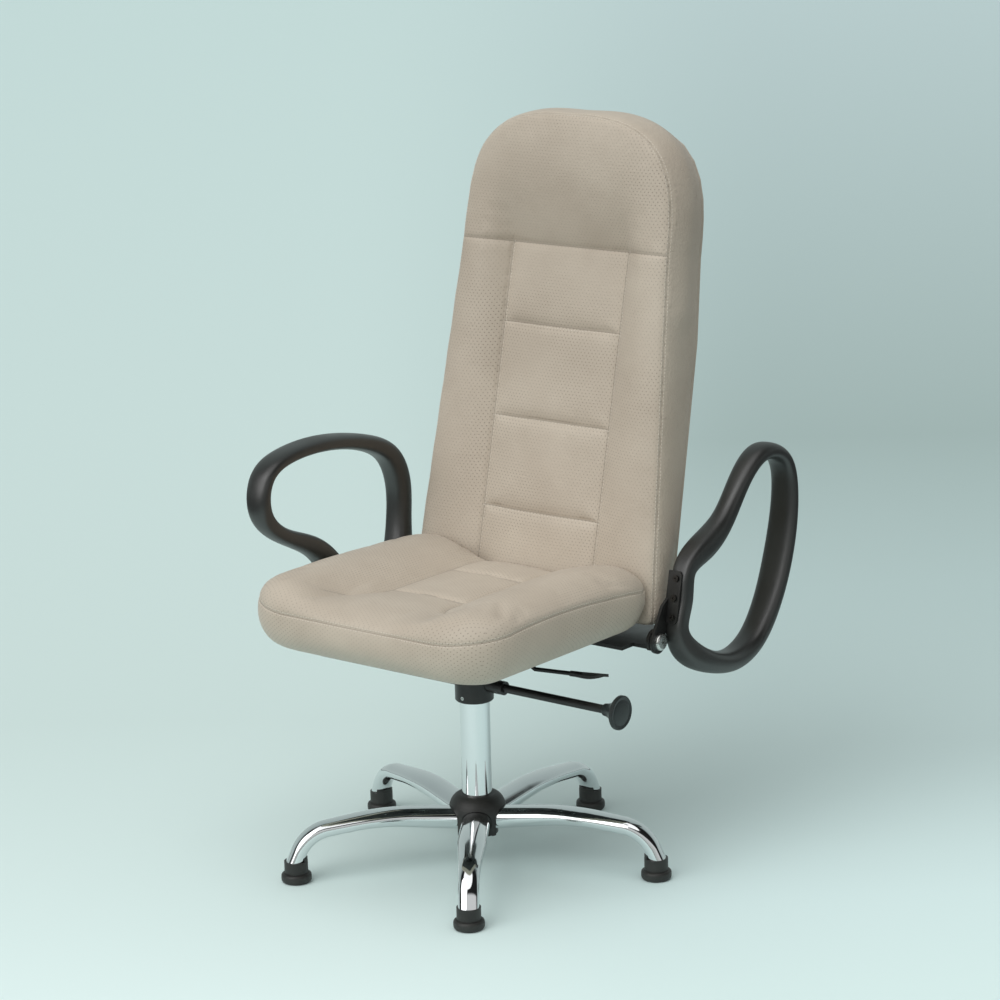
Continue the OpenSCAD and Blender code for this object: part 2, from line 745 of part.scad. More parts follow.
module brake_knob() {
    rim = knob_face_reach - knob_rim_t;
    neck = rim - knob_cone_l;
    edge = knob_rim_t / 4;
    color(black_plastic) difference() {
        translate([0, 0, brake_z]) rotate([0, 90, 0]) rotate_extrude($fn = 96) polygon(concat(
            [[0, neck], [knob_neck_r - edge, neck], [knob_neck_r, neck + edge]],
            [for (t = [0.3:0.1:0.9]) [mix(knob_neck_r, knob_r - edge, pow(t, 2.4)), mix(neck, rim, t)]],
            [[knob_r - edge, rim], [knob_r, rim + edge], [knob_r, rim + 3 * edge],
                [knob_r - edge, knob_face_reach]],
            [for (a = [15:15:90])
                [(knob_r - 3 * edge) * cos(a), knob_face_reach - edge + knob_dome * sin(a)]]
        ));
        rod_x(brake_rod_r, 0, brake_rod_end, brake_z);
    }
}

// Seat mechanism: socket, box and flange, with the height lever in it

module on_lever() {
    rotate([0, 0, lever_azimuth]) children();
}

module lever_lugs() {
    on_lever() for (side = [-1, 1])
        translate([lever_pivot_reach - eye_r, side * (eye_w / 2 + box_t / 2 + running_gap) - box_t / 2,
            deck_z])
            cube([2 * eye_r, box_t, box_top_z - deck_z - box_t]);
}

module seat_mechanism() {
    outer_w = box_w + 2 * flange_w;
    outer_d = box_d + 2 * flange_w;
    wall_h = box_top_z - deck_z;
    color(black_steel) difference() {
        union() {
            translate([0, 0, socket_bottom_z])
                cylinder(r = socket_r, h = deck_z - socket_bottom_z, $fn = 96);
            translate([-box_w / 2, -box_d / 2, deck_z]) difference() {
                cube([box_w, box_d, wall_h]);
                translate([box_t, box_t, box_t]) cube([box_w - 2 * box_t, box_d - 2 * box_t, wall_h]);
            }
            translate([0, 0, box_top_z - box_t]) difference() {
                rounded_plate(-outer_w / 2, outer_w / 2, -outer_d / 2, outer_d / 2, flange_w / 2, box_t);
                translate([-box_w / 2 + box_t, -box_d / 2 + box_t, -cut])
                    cube([box_w - 2 * box_t, box_d - 2 * box_t, box_t + 2 * cut]);
            }
            lever_lugs();
        }
        translate([0, 0, socket_bottom_z - cut]) cylinder(r = gas_r, h = wall_h + box_top_z, $fn = 96);
        on_lever() translate([box_w / 2 - 2 * box_t, -eye_w, deck_z + box_t])
            cube([4 * box_t, 2 * eye_w, wall_h - 2 * box_t]);
        on_lever() translate([lever_pivot_reach, 0, lever_z]) rotate([90, 0, 0])
            cylinder(r = lever_pin_r, h = 4 * eye_w, center = true, $fn = 48);
        mechanism_bolt_places() cylinder(r = bolt_r, h = 4 * box_t, center = true, $fn = 48);
    }
}

module mechanism_bolt_places() {
    for (x = [-1, 1], y = [-1, 1])
        translate([x * (box_w + flange_w) / 2, y * (box_d + flange_w) / 2, box_top_z - box_t]) children();
}

module lever_pin() {
    color(chrome_steel) on_lever() translate([lever_pivot_reach, 0, lever_z]) rotate([90, 0, 0])
        cylinder(r = lever_pin_r, h = eye_w + 2 * box_t + 2 * running_gap, center = true, $fn = 48);
}

// Centre line of the lever's wire, seen from the side
lever_slope = atan2(lever_grip_z - lever_z, lever_joggle_end - lever_joggle_start);
lever_slope_l = norm([lever_grip_z - lever_z, lever_joggle_end - lever_joggle_start]);

module release_lever() {
    color(black_steel) on_lever() difference() {
        union() {
            rod_x(lever_r, -lever_r, lever_joggle_start + lever_r, lever_z);
            translate([lever_joggle_start, 0, lever_z]) sphere(r = lever_r, $fn = 32);
            translate([lever_joggle_start, 0, lever_z]) rotate([0, 90 - lever_slope, 0])
                cylinder(r = lever_r, h = lever_slope_l, $fn = 64);
            translate([lever_joggle_end, 0, lever_grip_z]) sphere(r = lever_r, $fn = 32);
            rod_x(lever_r, lever_joggle_end, lever_wire_end - lever_joggle_end, lever_grip_z);
            translate([lever_pivot_reach, 0, lever_z]) rotate([90, 0, 0])
                cylinder(r = eye_r, h = eye_w, center = true, $fn = 64);
        }
        translate([lever_pivot_reach, 0, lever_z]) rotate([90, 0, 0])
            cylinder(r = lever_pin_r + running_gap, h = 2 * eye_w, center = true, $fn = 48);
    }
}

// Leaf-shaped grip, pointed at its tip
module lever_grip() {
    l = grip_tip - grip_start;
    color(black_plastic) on_lever() difference() {
        union() {
            translate([grip_start, 0, lever_grip_z - grip_t / 2]) linear_extrude(grip_t) polygon(concat(
                [for (t = [0:0.1:1]) [l * t, mix(grip_w * 0.3, grip_w * 0.62, t)]],
                [for (t = [1:-0.1:0])
                    let (hollow = grip_w * 0.36 * sin(180 * pow(t, 1.5)))
                    [l * t * (1 - 0.12 * t), mix(-grip_w * 0.3, grip_w * 0.55, pow(t, 5)) - hollow]]
            ));
            rod_x(lever_r + grip_t / 4, grip_start, lever_wire_end - grip_start + lever_r, lever_grip_z);
        }
        rod_x(lever_r, grip_start - cut, lever_wire_end - grip_start + cut, lever_grip_z);
    }
}

// Seat frame: the cross plate with its ears, the seat board and their bolts

module cross_outline() {
    polygon([
        [-cross_w, cross_front_y], [cross_w, cross_front_y], [cross_w, wing_front_y - cross_w / 2],
        [1.5 * cross_w, wing_front_y], [wing_w, wing_front_y], [wing_w, wing_arm_y],
        [ear_x + ear_t, wing_arm_y], [ear_x + ear_t, ear_rear_y],
        [wing_w, ear_rear_y + ear_x + ear_t - wing_w], [wing_w, cross_rear_y],
        [-wing_w, cross_rear_y], [-wing_w, ear_rear_y + ear_x + ear_t - wing_w],
        [-ear_x - ear_t, ear_rear_y], [-ear_x - ear_t, wing_arm_y],
        [-wing_w, wing_arm_y], [-wing_w, wing_front_y], [-1.5 * cross_w, wing_front_y],
        [-cross_w, wing_front_y - cross_w / 2]
    ]);
}

module ear(side) {
    x = side < 0 ? -ear_x - ear_t : ear_x;
    translate([x, 0, 0]) rotate([90, 0, 90]) linear_extrude(ear_t) difference() {
        union() {
            translate([pivot_y, pivot_z]) circle(r = hinge_r, $fn = 96);
            polygon([[pivot_y - hinge_r * 0.6, cross_z], [ear_rear_y, cross_z], [ear_rear_y, board_z],
                [pivot_y + hinge_r, pivot_z],
                [pivot_y + hinge_r * 0.5, pivot_z + hinge_r * 0.866]]);
        }
        translate([pivot_y, pivot_z]) circle(r = pivot_r, $fn = 64);
        stop_place(side) circle(r = stop_r, $fn = 48);
        translate([0, cross_z - 2 * hinge_r]) square([2 * cross_rear_y, 2 * hinge_r]);
    }
}

// Puts a circle where the stop pin is, in the plane across X: the web's slot turns round it
module stop_place(side) {
    translate([pivot_y + stop_reach * cos(stop_angle), pivot_z + stop_reach * sin(stop_angle)])
        children();
}

module cross_plate() {
    color(black_steel) difference() {
        union() {
            translate([0, 0, cross_z]) linear_extrude(cross_t) cross_outline();
            for (side = [-1, 1]) ear(side);
        }
        mechanism_bolt_places() cylinder(r = bolt_r, h = 8 * cross_t, center = true, $fn = 48);
        bar_bolt_places() cylinder(r = bolt_r, h = 8 * cross_t, center = true, $fn = 48);
        translate([-bar_w / 2 - cover_gap, bar_corner_y - bar_run, cross_z - cut])
            cube([bar_w + 2 * cover_gap, cross_rear_y, cross_t + 2 * cut]);
    }
}

module bolt_up(l) {
    translate([0, 0, -bolt_head_t]) difference() {
        cylinder(r = bolt_head_r, h = bolt_head_t, $fn = 6);
        translate([0, 0, -cut]) cylinder(r = bolt_r / 2, h = 2 * cut, $fn = 32);
    }
    cylinder(r = bolt_r, h = l, $fn = 48);
}

module mechanism_bolts() {
    color(chrome_steel) mechanism_bolt_places() bolt_up(box_t + cross_t + board_t - cut);
}

module seat_board() {
    color(black_steel) translate([0, 0, board_z]) difference() {
        rounded_plate(-board_w, board_w, board_front_y, board_rear_y, board_round, board_t);
        translate([0, 0, -board_z]) {
            mechanism_bolt_places() cylinder(r = bolt_r, h = 8 * cross_t, center = true, $fn = 48);
            bar_bolt_places() cylinder(r = bolt_r, h = 8 * cross_t, center = true, $fn = 48);
        }
    }
}

// Seat cushion: sections across the seat, from its front to its rear

seat_l = seat_rear_y - seat_front_y;
seat_station_shares = [0, 0.004, 0.015, 0.034, 0.06, 0.092, 0.13, 0.165, 0.2, 0.235, 0.27, 0.32, 0.37,
    0.405, 0.425, 0.445, 0.47, 0.54, 0.63, 0.7, 0.735, 0.755, 0.773, 0.791, 0.812, 0.87, 0.94, 0.985, 1];
seat_bolster_shares = [1, 0.98, 0.94, 0.88, 0.78, 0.64, 0.46, 0.27, 0.12, 0];
seat_panel_shares = [0.85, 0.45, 0];
// How steeply the padding falls to a seam: 1 is straight, more is fuller
fullness_share = 1.5;
// How much further the cushion's lower edge is drawn in at its front corners
seat_tuck_share = 1.9;

// Height of the seat's cover above its seam, at x and y
function seat_rise(x, y) =
    let (half = seat_half(y), share = min(1, abs(x) / half))
    let (across = rise((1 - share) * half / (seat_w - bolster_w)))
    let (front = rise((y - seat_front_y) / seat_front_round))
    let (back = mix(0.6, 1, rise((seat_rear_y - y) / seat_front_round)))
    let (full = max(ease(seat_panel_y - channel_w, channel_front_y, y), ease(0.3, 0.75, share)))
    let (crest = mix(seat_roll_h, seat_bolster_h, full))
    let (panel = seat_panel_half(y))
    let (behind = ease(seat_panel_y - channel_w, seat_panel_y + channel_w, y))
    let (sunk = behind * fall(panel, bolster_w, abs(x)))
    let (drop = mix(channel_depth / 2, seat_panel_drop, ease(seat_panel_y, channel_front_y, y)))
    let (puff = channel_depth * (1 - pow(min(1, abs(x) / panel), 2)))
    let (lines = dip(y - channel_front_y) + dip(y - channel_rear_y))
    let (hollow = sunk * (drop - puff + on_panel(x, panel) * channel_depth * lines))
    across * front * back * crest + seat_arch(y) * pow(share, 6) - hollow;

// Rise of the side seams above the front seam, at y
function seat_arch(y) = seat_seam_arch_h * sin(180 * pow((y - seat_front_y) / seat_l, 0.8));
function seat_panel_half(y) = mix(seat_panel_w, seat_panel_front_w,
    pow(1 - rise_share(y, seat_panel_y - channel_w, channel_front_y), 2.5));
function rise_share(v, a, b) = min(1, max(0, (v - a) / (b - a)));

// Places across a cushion, with one on the seam at the centre panel's edge
function seam_shares(half, panel, outer, inner) =
    let (seam_x = min(panel, 0.55 * half))
    concat([for (t = outer) mix(seam_x, half, t)], [for (t = inner) seam_x * t]);

// 1 on a centre panel of half width w, 0 outside it
function on_panel(x, w) = 1 - ease(w - channel_w, w, abs(x));
// Sewn line: a sharp valley that closes within a channel's width
function dip(v) = pow(1 - min(1, abs(v) / channel_w), 2);
// Full padding that falls to a seam: 1 at a, 0 at b, steepest at a
function fall(a, b, v) = pow(1 - min(1, max(0, (v - a) / (b - a))), fullness_share);

// Half width of the seat's seam at y
function seat_half(y) =
    let (f = (y - seat_front_y) / seat_corner_d, b = (seat_rear_y - y) / seat_rear_round)
    seat_w - seat_corner_w * (1 - rise(f)) - seat_rear_round * (1 - rise(b));

function seat_ring(y) =
    let (half = seat_half(y))
    let (under = seat_under_round * (1 - rise((y - seat_front_y) / seat_under_round)))
    let (bottom = seat_z + under, low = seat_under_round - under)
    let (tuck = seat_under_round * mix(seat_tuck_share, 1, rise((y - seat_front_y) / seat_corner_w)))
    let (seam_z = seat_seam_z + seat_arch(y))
    let (side = concat(
        [for (a = [0:22.5:90]) [half - tuck * (1 - sin(a)), bottom + low * (1 - cos(a))]],
        [for (t = [0.35, 0.7]) [half + seat_swell * sin(180 * t), mix(bottom + low, seam_z, t)]]
    ))
    let (top = [for (x = seam_shares(half, seat_panel_half(y), seat_bolster_shares, seat_panel_shares))
        [x, seat_seam_z + seat_rise(x, y)]])
    let (right = concat([[0, bottom], [half / 3, bottom]], side, top))
    concat([for (p = right) [-p.x, y, p.y]],
        [for (i = [len(right) - 2:-1:1]) [right[i].x, y, right[i].y]]);

module seat_cushion() {
    color(leatherette) skin([for (s = seat_station_shares) seat_ring(seat_front_y + s * seat_l)]);
}

// Backrest: drawn upright with its front face on y = 0, then leaned back

module on_back() {
    translate([0, back_y, back_z]) rotate([-back_lean, 0, 0]) children();
}

// Places along the back: its foot, each seam with the run below it, its head
back_foot_shares = [0, 0.006, 0.02, 0.06, 0.12];
back_head_shares = [0.775, 0.81, 0.85, 0.89, 0.925, 0.955, 0.978, 0.993, 0.9995];
seam_step_shares = [-1, -0.35, 0, 0.35, 1];
back_seams = concat(back_channel_reach, [head_seam_reach]);
back_stations = concat(
    [for (t = back_foot_shares) t * back_l],
    [for (i = [0:len(back_seams) - 1]) each concat(
        i > 0 ? [(back_seams[i - 1] + back_seams[i]) / 2] : [],
        [for (t = seam_step_shares) back_seams[i] + t * channel_w]
    )],
    [for (t = back_head_shares) t * back_l]
);
back_bolster_shares = [1, 0.97, 0.9, 0.78, 0.62, 0.44, 0.26, 0.11, 0];
back_panel_shares = [0.8, 0.4, 0];

// Half width of the back at s along it
function back_half(s) =
    let (past = (s - head_seam_reach) / (back_l - head_seam_reach))
    let (drawn = seat_rear_round / 2 * (1 - rise(s / seat_rear_round)))
    s < head_seam_reach ? mix(back_w, back_head_w, s / head_seam_reach) - drawn
        : back_head_w * pow(1 - pow(past, 3.2), 1 / 3);

// Thickness of the back at s along it
function back_depth(s) =
    let (past = (s - shoulder_reach) / (back_l - shoulder_reach))
    s < shoulder_reach ? mix(back_foot_t, back_shoulder_t, s / shoulder_reach)
        : mix(back_shoulder_t, back_top_t, 1 - sqrt(1 - pow(past, 3)));

// Depth of the cover behind the front face's plane, at x and at s along the back
function back_face(x, s) =
    let (half = back_half(s), share = min(1, abs(x) / half))
    let (past = max(0, s - head_seam_reach) / (back_l - head_seam_reach))
    let (ends = rise((1 - past) * 1.6) * rise((s + back_foot_t / 2) / back_foot_t))
    let (edge = rise((1 - share) * 3) * ends)
    let (inside = fall(panel_w, bolster_w * half / back_w + channel_w, abs(x)))
    let (seam = mix(back_panel_foot, back_panel_drop, s / head_seam_reach) + back_bolster_h)
    let (puff = back_puff * (1 - pow(min(1, abs(x) / panel_w), 2)))
    let (lines = on_panel(x, panel_w) * max([for (c = back_channel_reach) dip(s - c)]))
    let (valley = dip((s - head_seam_reach) / 2))
    let (head = 1 - fall(head_seam_reach, head_seam_reach + head_roll_l, s))
    let (body = -back_bolster_h * edge + inside * edge * (seam - puff + back_channel_depth * lines))
    let (top = -head_puff * edge * (1 - pow(share, 3)))
    mix(body, top, head) + valley * edge * back_channel_depth / 2 - back_top_forward * pow(past, 2);

function back_ring(s) =
    let (half = back_half(s), deep = back_depth(s) - rear_panel_t)
    let (lift = back_crown * max(0, s - head_seam_reach) / (back_l - head_seam_reach))
    let (side = [[max(half - seat_swell, half / 2), deep], [half + back_swell * 0.8, deep * 0.66],
        [half + back_swell, deep * 0.33]])
    let (front = [for (x = seam_shares(half, panel_w, back_bolster_shares, back_panel_shares))
        [x, back_face(x, s)]])
    let (right = concat([[0, deep], [half / 2, deep]], side, front))
    let (high = [for (p = right) [p.x, p.y, s + lift * sin(180 * min(1, max(0, p.y / deep)))]])
    concat([for (p = high) [-p.x, p.y, p.z]], [for (i = [len(high) - 2:-1:1]) high[i]]);

module back_cushion() {
    color(leatherette) on_back() skin([for (s = back_stations) back_ring(s)]);
}

// Rear panel: bent board behind the cushion, inside its outline
module rear_panel() {
    low = rear_panel_inset;
    high = back_l - rear_panel_inset;
    inner = concat([low], [for (s = back_stations) if (s > low && s < high) s], [high]);
    color(leatherette) on_back() difference() {
        intersection() {
            translate([-back_w, 0, 0]) rotate([90, 0, 90]) linear_extrude(2 * back_w) polygon(concat(
                [for (s = inner) [back_depth(s) - rear_panel_t, s]],
                [for (i = [len(inner) - 1:-1:0]) [back_depth(inner[i]), inner[i]]]
            ));
            rotate([90, 0, 0]) translate([0, 0, -2 * back_shoulder_t]) linear_extrude(2 * back_shoulder_t)
                polygon(concat(
                    [for (s = inner) [rear_half(s), s]],
                    [for (i = [len(inner) - 1:-1:0]) [-rear_half(inner[i]), inner[i]]]
                ));
        }
        back_bolt_places() translate([0, 0, -bar_t - cut])
            cylinder(r = bolt_r, h = bar_t + rear_panel_t, $fn = 48);
    }
}

function rear_half(s) = max(back_half(s) - rear_panel_inset - seat_swell, rear_panel_inset);

// Bar behind the back: its side view is two straight runs and a bend

module on_rear() {
    translate([0, back_foot_t, 0]) rotate([back_lean - bar_angle, 0, 0]) children();
}

rear_foot = [back_y + back_foot_t * cos(back_lean), back_z - back_foot_t * sin(back_lean)];
bar_corner_y = rear_foot.x - (rear_foot.y - cross_z) * tan(bar_angle);
bar_run = bar_bend_r * tan((90 - bar_angle) / 2);

module back_bar() {
    up = [sin(bar_angle), cos(bar_angle)];
    out = [cos(bar_angle), -sin(bar_angle)];
    turn = 90 - bar_angle;
    centre = [bar_corner_y - bar_run, cross_z + bar_bend_r];
    top = rear_foot + up * bar_top_reach;
    color(black_steel) difference() {
        translate([-bar_w / 2, 0, 0]) rotate([90, 0, 90]) linear_extrude(bar_w) polygon(concat(
            [[bar_front_y, cross_z - bar_t], [bar_front_y, cross_z]],
            [for (a = [0:turn / 12:turn + 0.01]) centre + bar_bend_r * [sin(a), -cos(a)]],
            [top, top + out * bar_t],
            [for (a = [turn:-turn / 12:-0.01]) centre + (bar_bend_r + bar_t) * [sin(a), -cos(a)]]
        ));
        bar_bolt_places() cylinder(r = bolt_r, h = 8 * cross_t, center = true, $fn = 48);
        on_back() back_bolt_places() translate([0, 0, -2 * bar_t])
            cylinder(r = bolt_r, h = 4 * bar_t, $fn = 48);
    }
}

module bar_bolt_places() {
    for (x = [-1, 1], y = [wing_front_y, wing_front_y + bar_w])
        translate([x * bar_w / 3.2, y, cross_z - bar_t]) children();
}

// Places on the rear face, with +Z going into the panel
module back_bolt_places() {
    on_rear() for (x = [-1, 1], s = bar_bolt_reach)
        translate([x * bar_w / 3.2, 0, s]) rotate([90, 0, 0]) children();
}

// The front pair goes through the seat board, the rear pair has nuts on the cross plate
module bar_bolts() {
    color(chrome_steel) {
        bar_bolt_places() bolt_up(bar_t + cross_t + bolt_head_t);
        for (x = [-1, 1]) translate([x * bar_w / 3.2, wing_front_y + bar_w, cross_z + cross_t])
            tube(bolt_head_r, bolt_r, 0, bolt_head_t);
    }
}

module back_bolts() {
    color(chrome_steel) on_back() back_bolt_places() translate([0, 0, -bar_t])
        bolt_up(bar_t + rear_panel_t - 2 * cut);
}

// Armrests: a closed loop swept round seven corners, drawn in use on +X

function arm_corner(k) = let (c = arm_corner_shares[(k + 7) % 7])
    [pivot_y + arm_reach * c[0], pivot_z + arm_rise * c[1]];

function arm_ring(k, p, share) =
    let (a = arm_runs[(k + 6) % 7], b = arm_runs[k], t = ease(0, 1, share))
    let (w = mix(a[0], b[0], t), thick = mix(a[1], b[1], t),
        power = mix(arm_powers[(k + 6) % 7], arm_powers[k], t))
    [for (s = section(w, thick, power, 20)) [arm_x - s.x, p.x - s.y * sin(p[2]), p.y + s.y * cos(p[2])]];

arm_rings = [for (k = [0:6])
    let (steps = k == 2 ? 5 : 8)
    let (arc = corner_arc(arm_corner(k - 1), arm_corner(k), arm_corner(k + 1),
        arm_rise * arm_round_shares[k], steps))
    for (i = [0:steps]) arm_ring(k, arc[i], i / steps)];

// Draws an armrest piece on its side: the left one in use, the right one folded
module on_arm(side) {
    if (side < 0) mirror([1, 0, 0]) children();
    else translate([0, pivot_y, pivot_z]) rotate([-fold_angle, 0, 0]) translate([0, -pivot_y, -pivot_z])
        children();
}

module arm_screw_places() {
    for (y = arm_screw_y) translate([arm_inner_x + hinge_flange_w * 0.62, y, arm_under_z]) children();
}

module armrest(side) {
    color(black_plastic) on_arm(side) difference() {
        skin(arm_rings, closed = true);
        translate([arm_inner_x - cut, hinge_front_y - hinge_r / 10, pivot_z - hinge_r])
            cube([2 * mount_size[0], hinge_rear_y - hinge_front_y + hinge_r,
                arm_under_z - pivot_z + hinge_r]);
        arm_screw_places() cylinder(r = arm_screw_r, h = arm_screw_l, $fn = 48);
    }
}

// The slot in the hinge's web lets it turn by the fold angle round the stop pin
module stop_slot() {
    slot_r = stop_r + 2 * running_gap;
    translate([arm_inner_x - cut, pivot_y, pivot_z]) rotate([90, 0, 90]) {
        rotate(stop_angle) rotate_extrude(angle = fold_angle, $fn = 96)
            translate([stop_reach - slot_r, 0]) square([2 * slot_r, hinge_t + 2 * cut]);
        for (a = [stop_angle, stop_angle + fold_angle]) rotate(a) translate([stop_reach, 0, 0])
            cylinder(r = stop_r + running_gap, h = hinge_t + 2 * cut, $fn = 48);
    }
}

module arm_hinge(side) {
    color(black_steel) on_arm(side) difference() {
        union() {
            translate([arm_inner_x, 0, 0]) rotate([90, 0, 90]) linear_extrude(hinge_t) difference() {
                union() {
                    translate([pivot_y, pivot_z]) circle(r = hinge_r, $fn = 96);
                    polygon([[hinge_web_y, arm_under_z], [hinge_web_y + hinge_r, pivot_z - hinge_r * 0.1],
                        [pivot_y - hinge_r * 0.6, pivot_z - hinge_r * 0.8],
                            [pivot_y + hinge_r * 0.4, pivot_z + hinge_r * 0.7],
                        [hinge_rear_y, arm_under_z]]);
                }
                translate([pivot_y, pivot_z]) circle(r = pivot_r + running_gap, $fn = 64);
                translate([0, arm_under_z]) square([2 * pivot_y, 2 * hinge_r]);
            }
            translate([arm_inner_x, 0, arm_under_z - hinge_t]) linear_extrude(hinge_t) polygon([
                [0, hinge_front_y], [hinge_flange_w * 0.85, hinge_front_y],
                    [hinge_flange_w, hinge_front_y + hinge_t],
                [hinge_flange_w, hinge_rear_y - hinge_t], [hinge_flange_w * 0.85, hinge_rear_y],
                    [0, hinge_rear_y]
            ]);
        }
        arm_screw_places() cylinder(r = arm_screw_r, h = 4 * hinge_t, center = true, $fn = 48);
        stop_slot();
    }
}

module arm_screws(side) {
    color(chrome_steel) on_arm(side) arm_screw_places() {
        difference() {
            translate([0, 0, -hinge_t - arm_screw_head_t])
                cylinder(r = arm_screw_head_r, h = arm_screw_head_t, $fn = 48);
            translate([0, 0, -hinge_t - arm_screw_head_t - cut])
                cylinder(r = arm_screw_r / 2, h = cut + arm_screw_head_t / 2, $fn = 6);
        }
        translate([0, 0, -hinge_t]) cylinder(r = arm_screw_r, h = hinge_t + arm_screw_l, $fn = 48);
    }
}

// Pivot bolt: domed head outside the hinge, shank through the ear and a nut inside it
module pivot_bolt(side) {
    head_x = arm_inner_x + hinge_t + running_gap;
    color(chrome_steel) mirror([side < 0 ? 1 : 0, 0, 0]) translate([0, pivot_y, pivot_z])
        rotate([0, 90, 0])
        difference() {
            union() {
                translate([0, 0, ear_x - bolt_head_t]) rotate(30)
                    cylinder(r = pivot_nut_r, h = bolt_head_t, $fn = 6);
                translate([0, 0, ear_x]) cylinder(r = pivot_r, h = head_x - ear_x, $fn = 64);
                translate([0, 0, head_x]) rotate_extrude($fn = 96) polygon(concat(
                    [[0, 0], [pivot_head_r, 0], [pivot_head_r, pivot_head_t / 2]],
                    [for (a = [15:15:90]) [pivot_head_r - pivot_head_t / 2 * (1 - cos(a)),
                        pivot_head_t / 2 * (1 + sin(a))]],
                    [[0, pivot_head_t]]
                ));
            }
            translate([0, 0, head_x + pivot_head_t / 2])
                cylinder(r = pivot_socket_r, h = pivot_head_t, $fn = 6);
        }
}

module stop_pins() {
    color(chrome_steel) for (side = [-1, 1]) mirror([side < 0 ? 1 : 0, 0, 0])
        translate([ear_x, 0, 0]) rotate([90, 0, 90]) linear_extrude(ear_t + washer_t + hinge_t - cut / 2)
            stop_place(side) circle(r = stop_r, $fn = 48);
}

module hinge_washers() {
    color("white") for (side = [-1, 1]) mirror([side < 0 ? 1 : 0, 0, 0])
        translate([arm_inner_x - washer_t, pivot_y, pivot_z]) rotate([0, 90, 0]) difference() {
            cylinder(r = stop_reach - stop_r - washer_t / 2, h = washer_t, $fn = 64);
            translate([0, 0, -cut]) cylinder(r = pivot_r, h = washer_t + 2 * cut, $fn = 64);
        }
}

base_hub();
hub_cover();
for (i = [1:leg_count]) leg(i);
for (i = [1:leg_count]) foot(i);
column_tube();
column_bush();
bearing_plate();
thrust_bearing();
piston_rod();
rod_clip();
gas_cylinder();
valve_pin();
brake_collar();
collar_grub_screws();
brake_shoe();
brake_screw();
brake_knob();
seat_mechanism();
lever_pin();
release_lever();
lever_grip();
cross_plate();
mechanism_bolts();
seat_board();
seat_cushion();
back_bar();
bar_bolts();
rear_panel();
back_cushion();
back_bolts();
stop_pins();
hinge_washers();
pivot_bolt(-1);  // pivot_bolt_left
arm_hinge(-1);  // arm_hinge_left
armrest(-1);  // armrest_left
arm_screws(-1);  // arm_screws_left
pivot_bolt(1);  // pivot_bolt_right
arm_hinge(1);  // arm_hinge_right
armrest(1);  // armrest_right
arm_screws(1);  // arm_screws_right
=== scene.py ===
# Ophthalmic examination chair: a high-backed chair in perforated leatherette on a
# chromed five-star base, with a gas lift, a swivel brake and two loop armrests.
# Metres. The origin is on the floor under the column, +Z is up and the chair faces -Y.

import math

import bmesh
import bpy
import numpy as np
from mathutils import Matrix, Vector
from mathutils.bvhtree import BVHTree
from mathutils.kdtree import KDTree


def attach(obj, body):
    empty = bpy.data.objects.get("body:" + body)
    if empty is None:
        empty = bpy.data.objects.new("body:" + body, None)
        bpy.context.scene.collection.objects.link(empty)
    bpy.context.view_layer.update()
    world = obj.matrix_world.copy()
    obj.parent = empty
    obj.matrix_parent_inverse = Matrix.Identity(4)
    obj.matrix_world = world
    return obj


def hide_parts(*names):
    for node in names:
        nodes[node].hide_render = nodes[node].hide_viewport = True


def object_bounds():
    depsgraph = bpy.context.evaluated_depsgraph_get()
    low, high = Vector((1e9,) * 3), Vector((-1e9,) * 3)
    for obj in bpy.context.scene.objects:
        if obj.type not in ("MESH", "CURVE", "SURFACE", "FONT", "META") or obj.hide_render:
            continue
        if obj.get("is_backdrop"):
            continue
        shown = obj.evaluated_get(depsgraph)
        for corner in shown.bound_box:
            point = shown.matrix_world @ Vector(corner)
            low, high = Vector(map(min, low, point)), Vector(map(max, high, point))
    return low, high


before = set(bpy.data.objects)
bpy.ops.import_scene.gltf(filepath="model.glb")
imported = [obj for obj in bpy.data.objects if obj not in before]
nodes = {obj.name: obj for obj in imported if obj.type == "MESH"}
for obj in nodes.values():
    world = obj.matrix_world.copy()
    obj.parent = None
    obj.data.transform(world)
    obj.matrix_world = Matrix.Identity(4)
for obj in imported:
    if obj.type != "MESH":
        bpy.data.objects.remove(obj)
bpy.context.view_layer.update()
scene = bpy.context.scene
scene.view_settings.view_transform = "Standard"


# ------------------------------------------------ camera
# A long lens five metres off: 39 degrees round to the sitter's left, 14 degrees down
# and rolled a degree and a half, as the parallel edges of the back and the base show.

turn, pitch, roll = math.radians(38.828), math.radians(13.752), math.radians(-1.469)
aim_height, aim_aside, distance = 0.6152, 0.05025, 5.0684
level = Vector((math.cos(turn), math.sin(turn), 0))
away = Vector((math.sin(turn) * math.cos(pitch), -math.cos(turn) * math.cos(pitch), math.sin(pitch)))
upright = away.cross(level)
across = math.cos(roll) * level + math.sin(roll) * upright
aloft = math.cos(roll) * upright - math.sin(roll) * level

camera = bpy.data.objects.new("camera", bpy.data.cameras.new("camera"))
scene.collection.objects.link(camera)
camera.rotation_mode = "QUATERNION"
camera.rotation_quaternion = Matrix((across, aloft, away)).transposed().to_quaternion()
camera.location = Vector((0, 0, aim_height)) + aim_aside * level + distance * away
camera.data.sensor_width = 36
camera.data.lens = 112.615
camera.data.clip_end = 200
scene.camera = camera


# ------------------------------------------------ feet and hub cover
# Glass-filled nylon, injection moulded: the cover over the hub, the five feet and the
# column's guide bush. The mould's spark-eroded faces give a fine, even, matt grain.

def linear(code):
    """An sRGB hex colour as the linear RGBA that a socket takes."""
    parts = [int(code[i:i + 2], 16) / 255 for i in (1, 3, 5)]
    return [c / 12.92 if c <= 0.04045 else ((c + 0.055) / 1.055) ** 2.4 for c in parts] + [1]


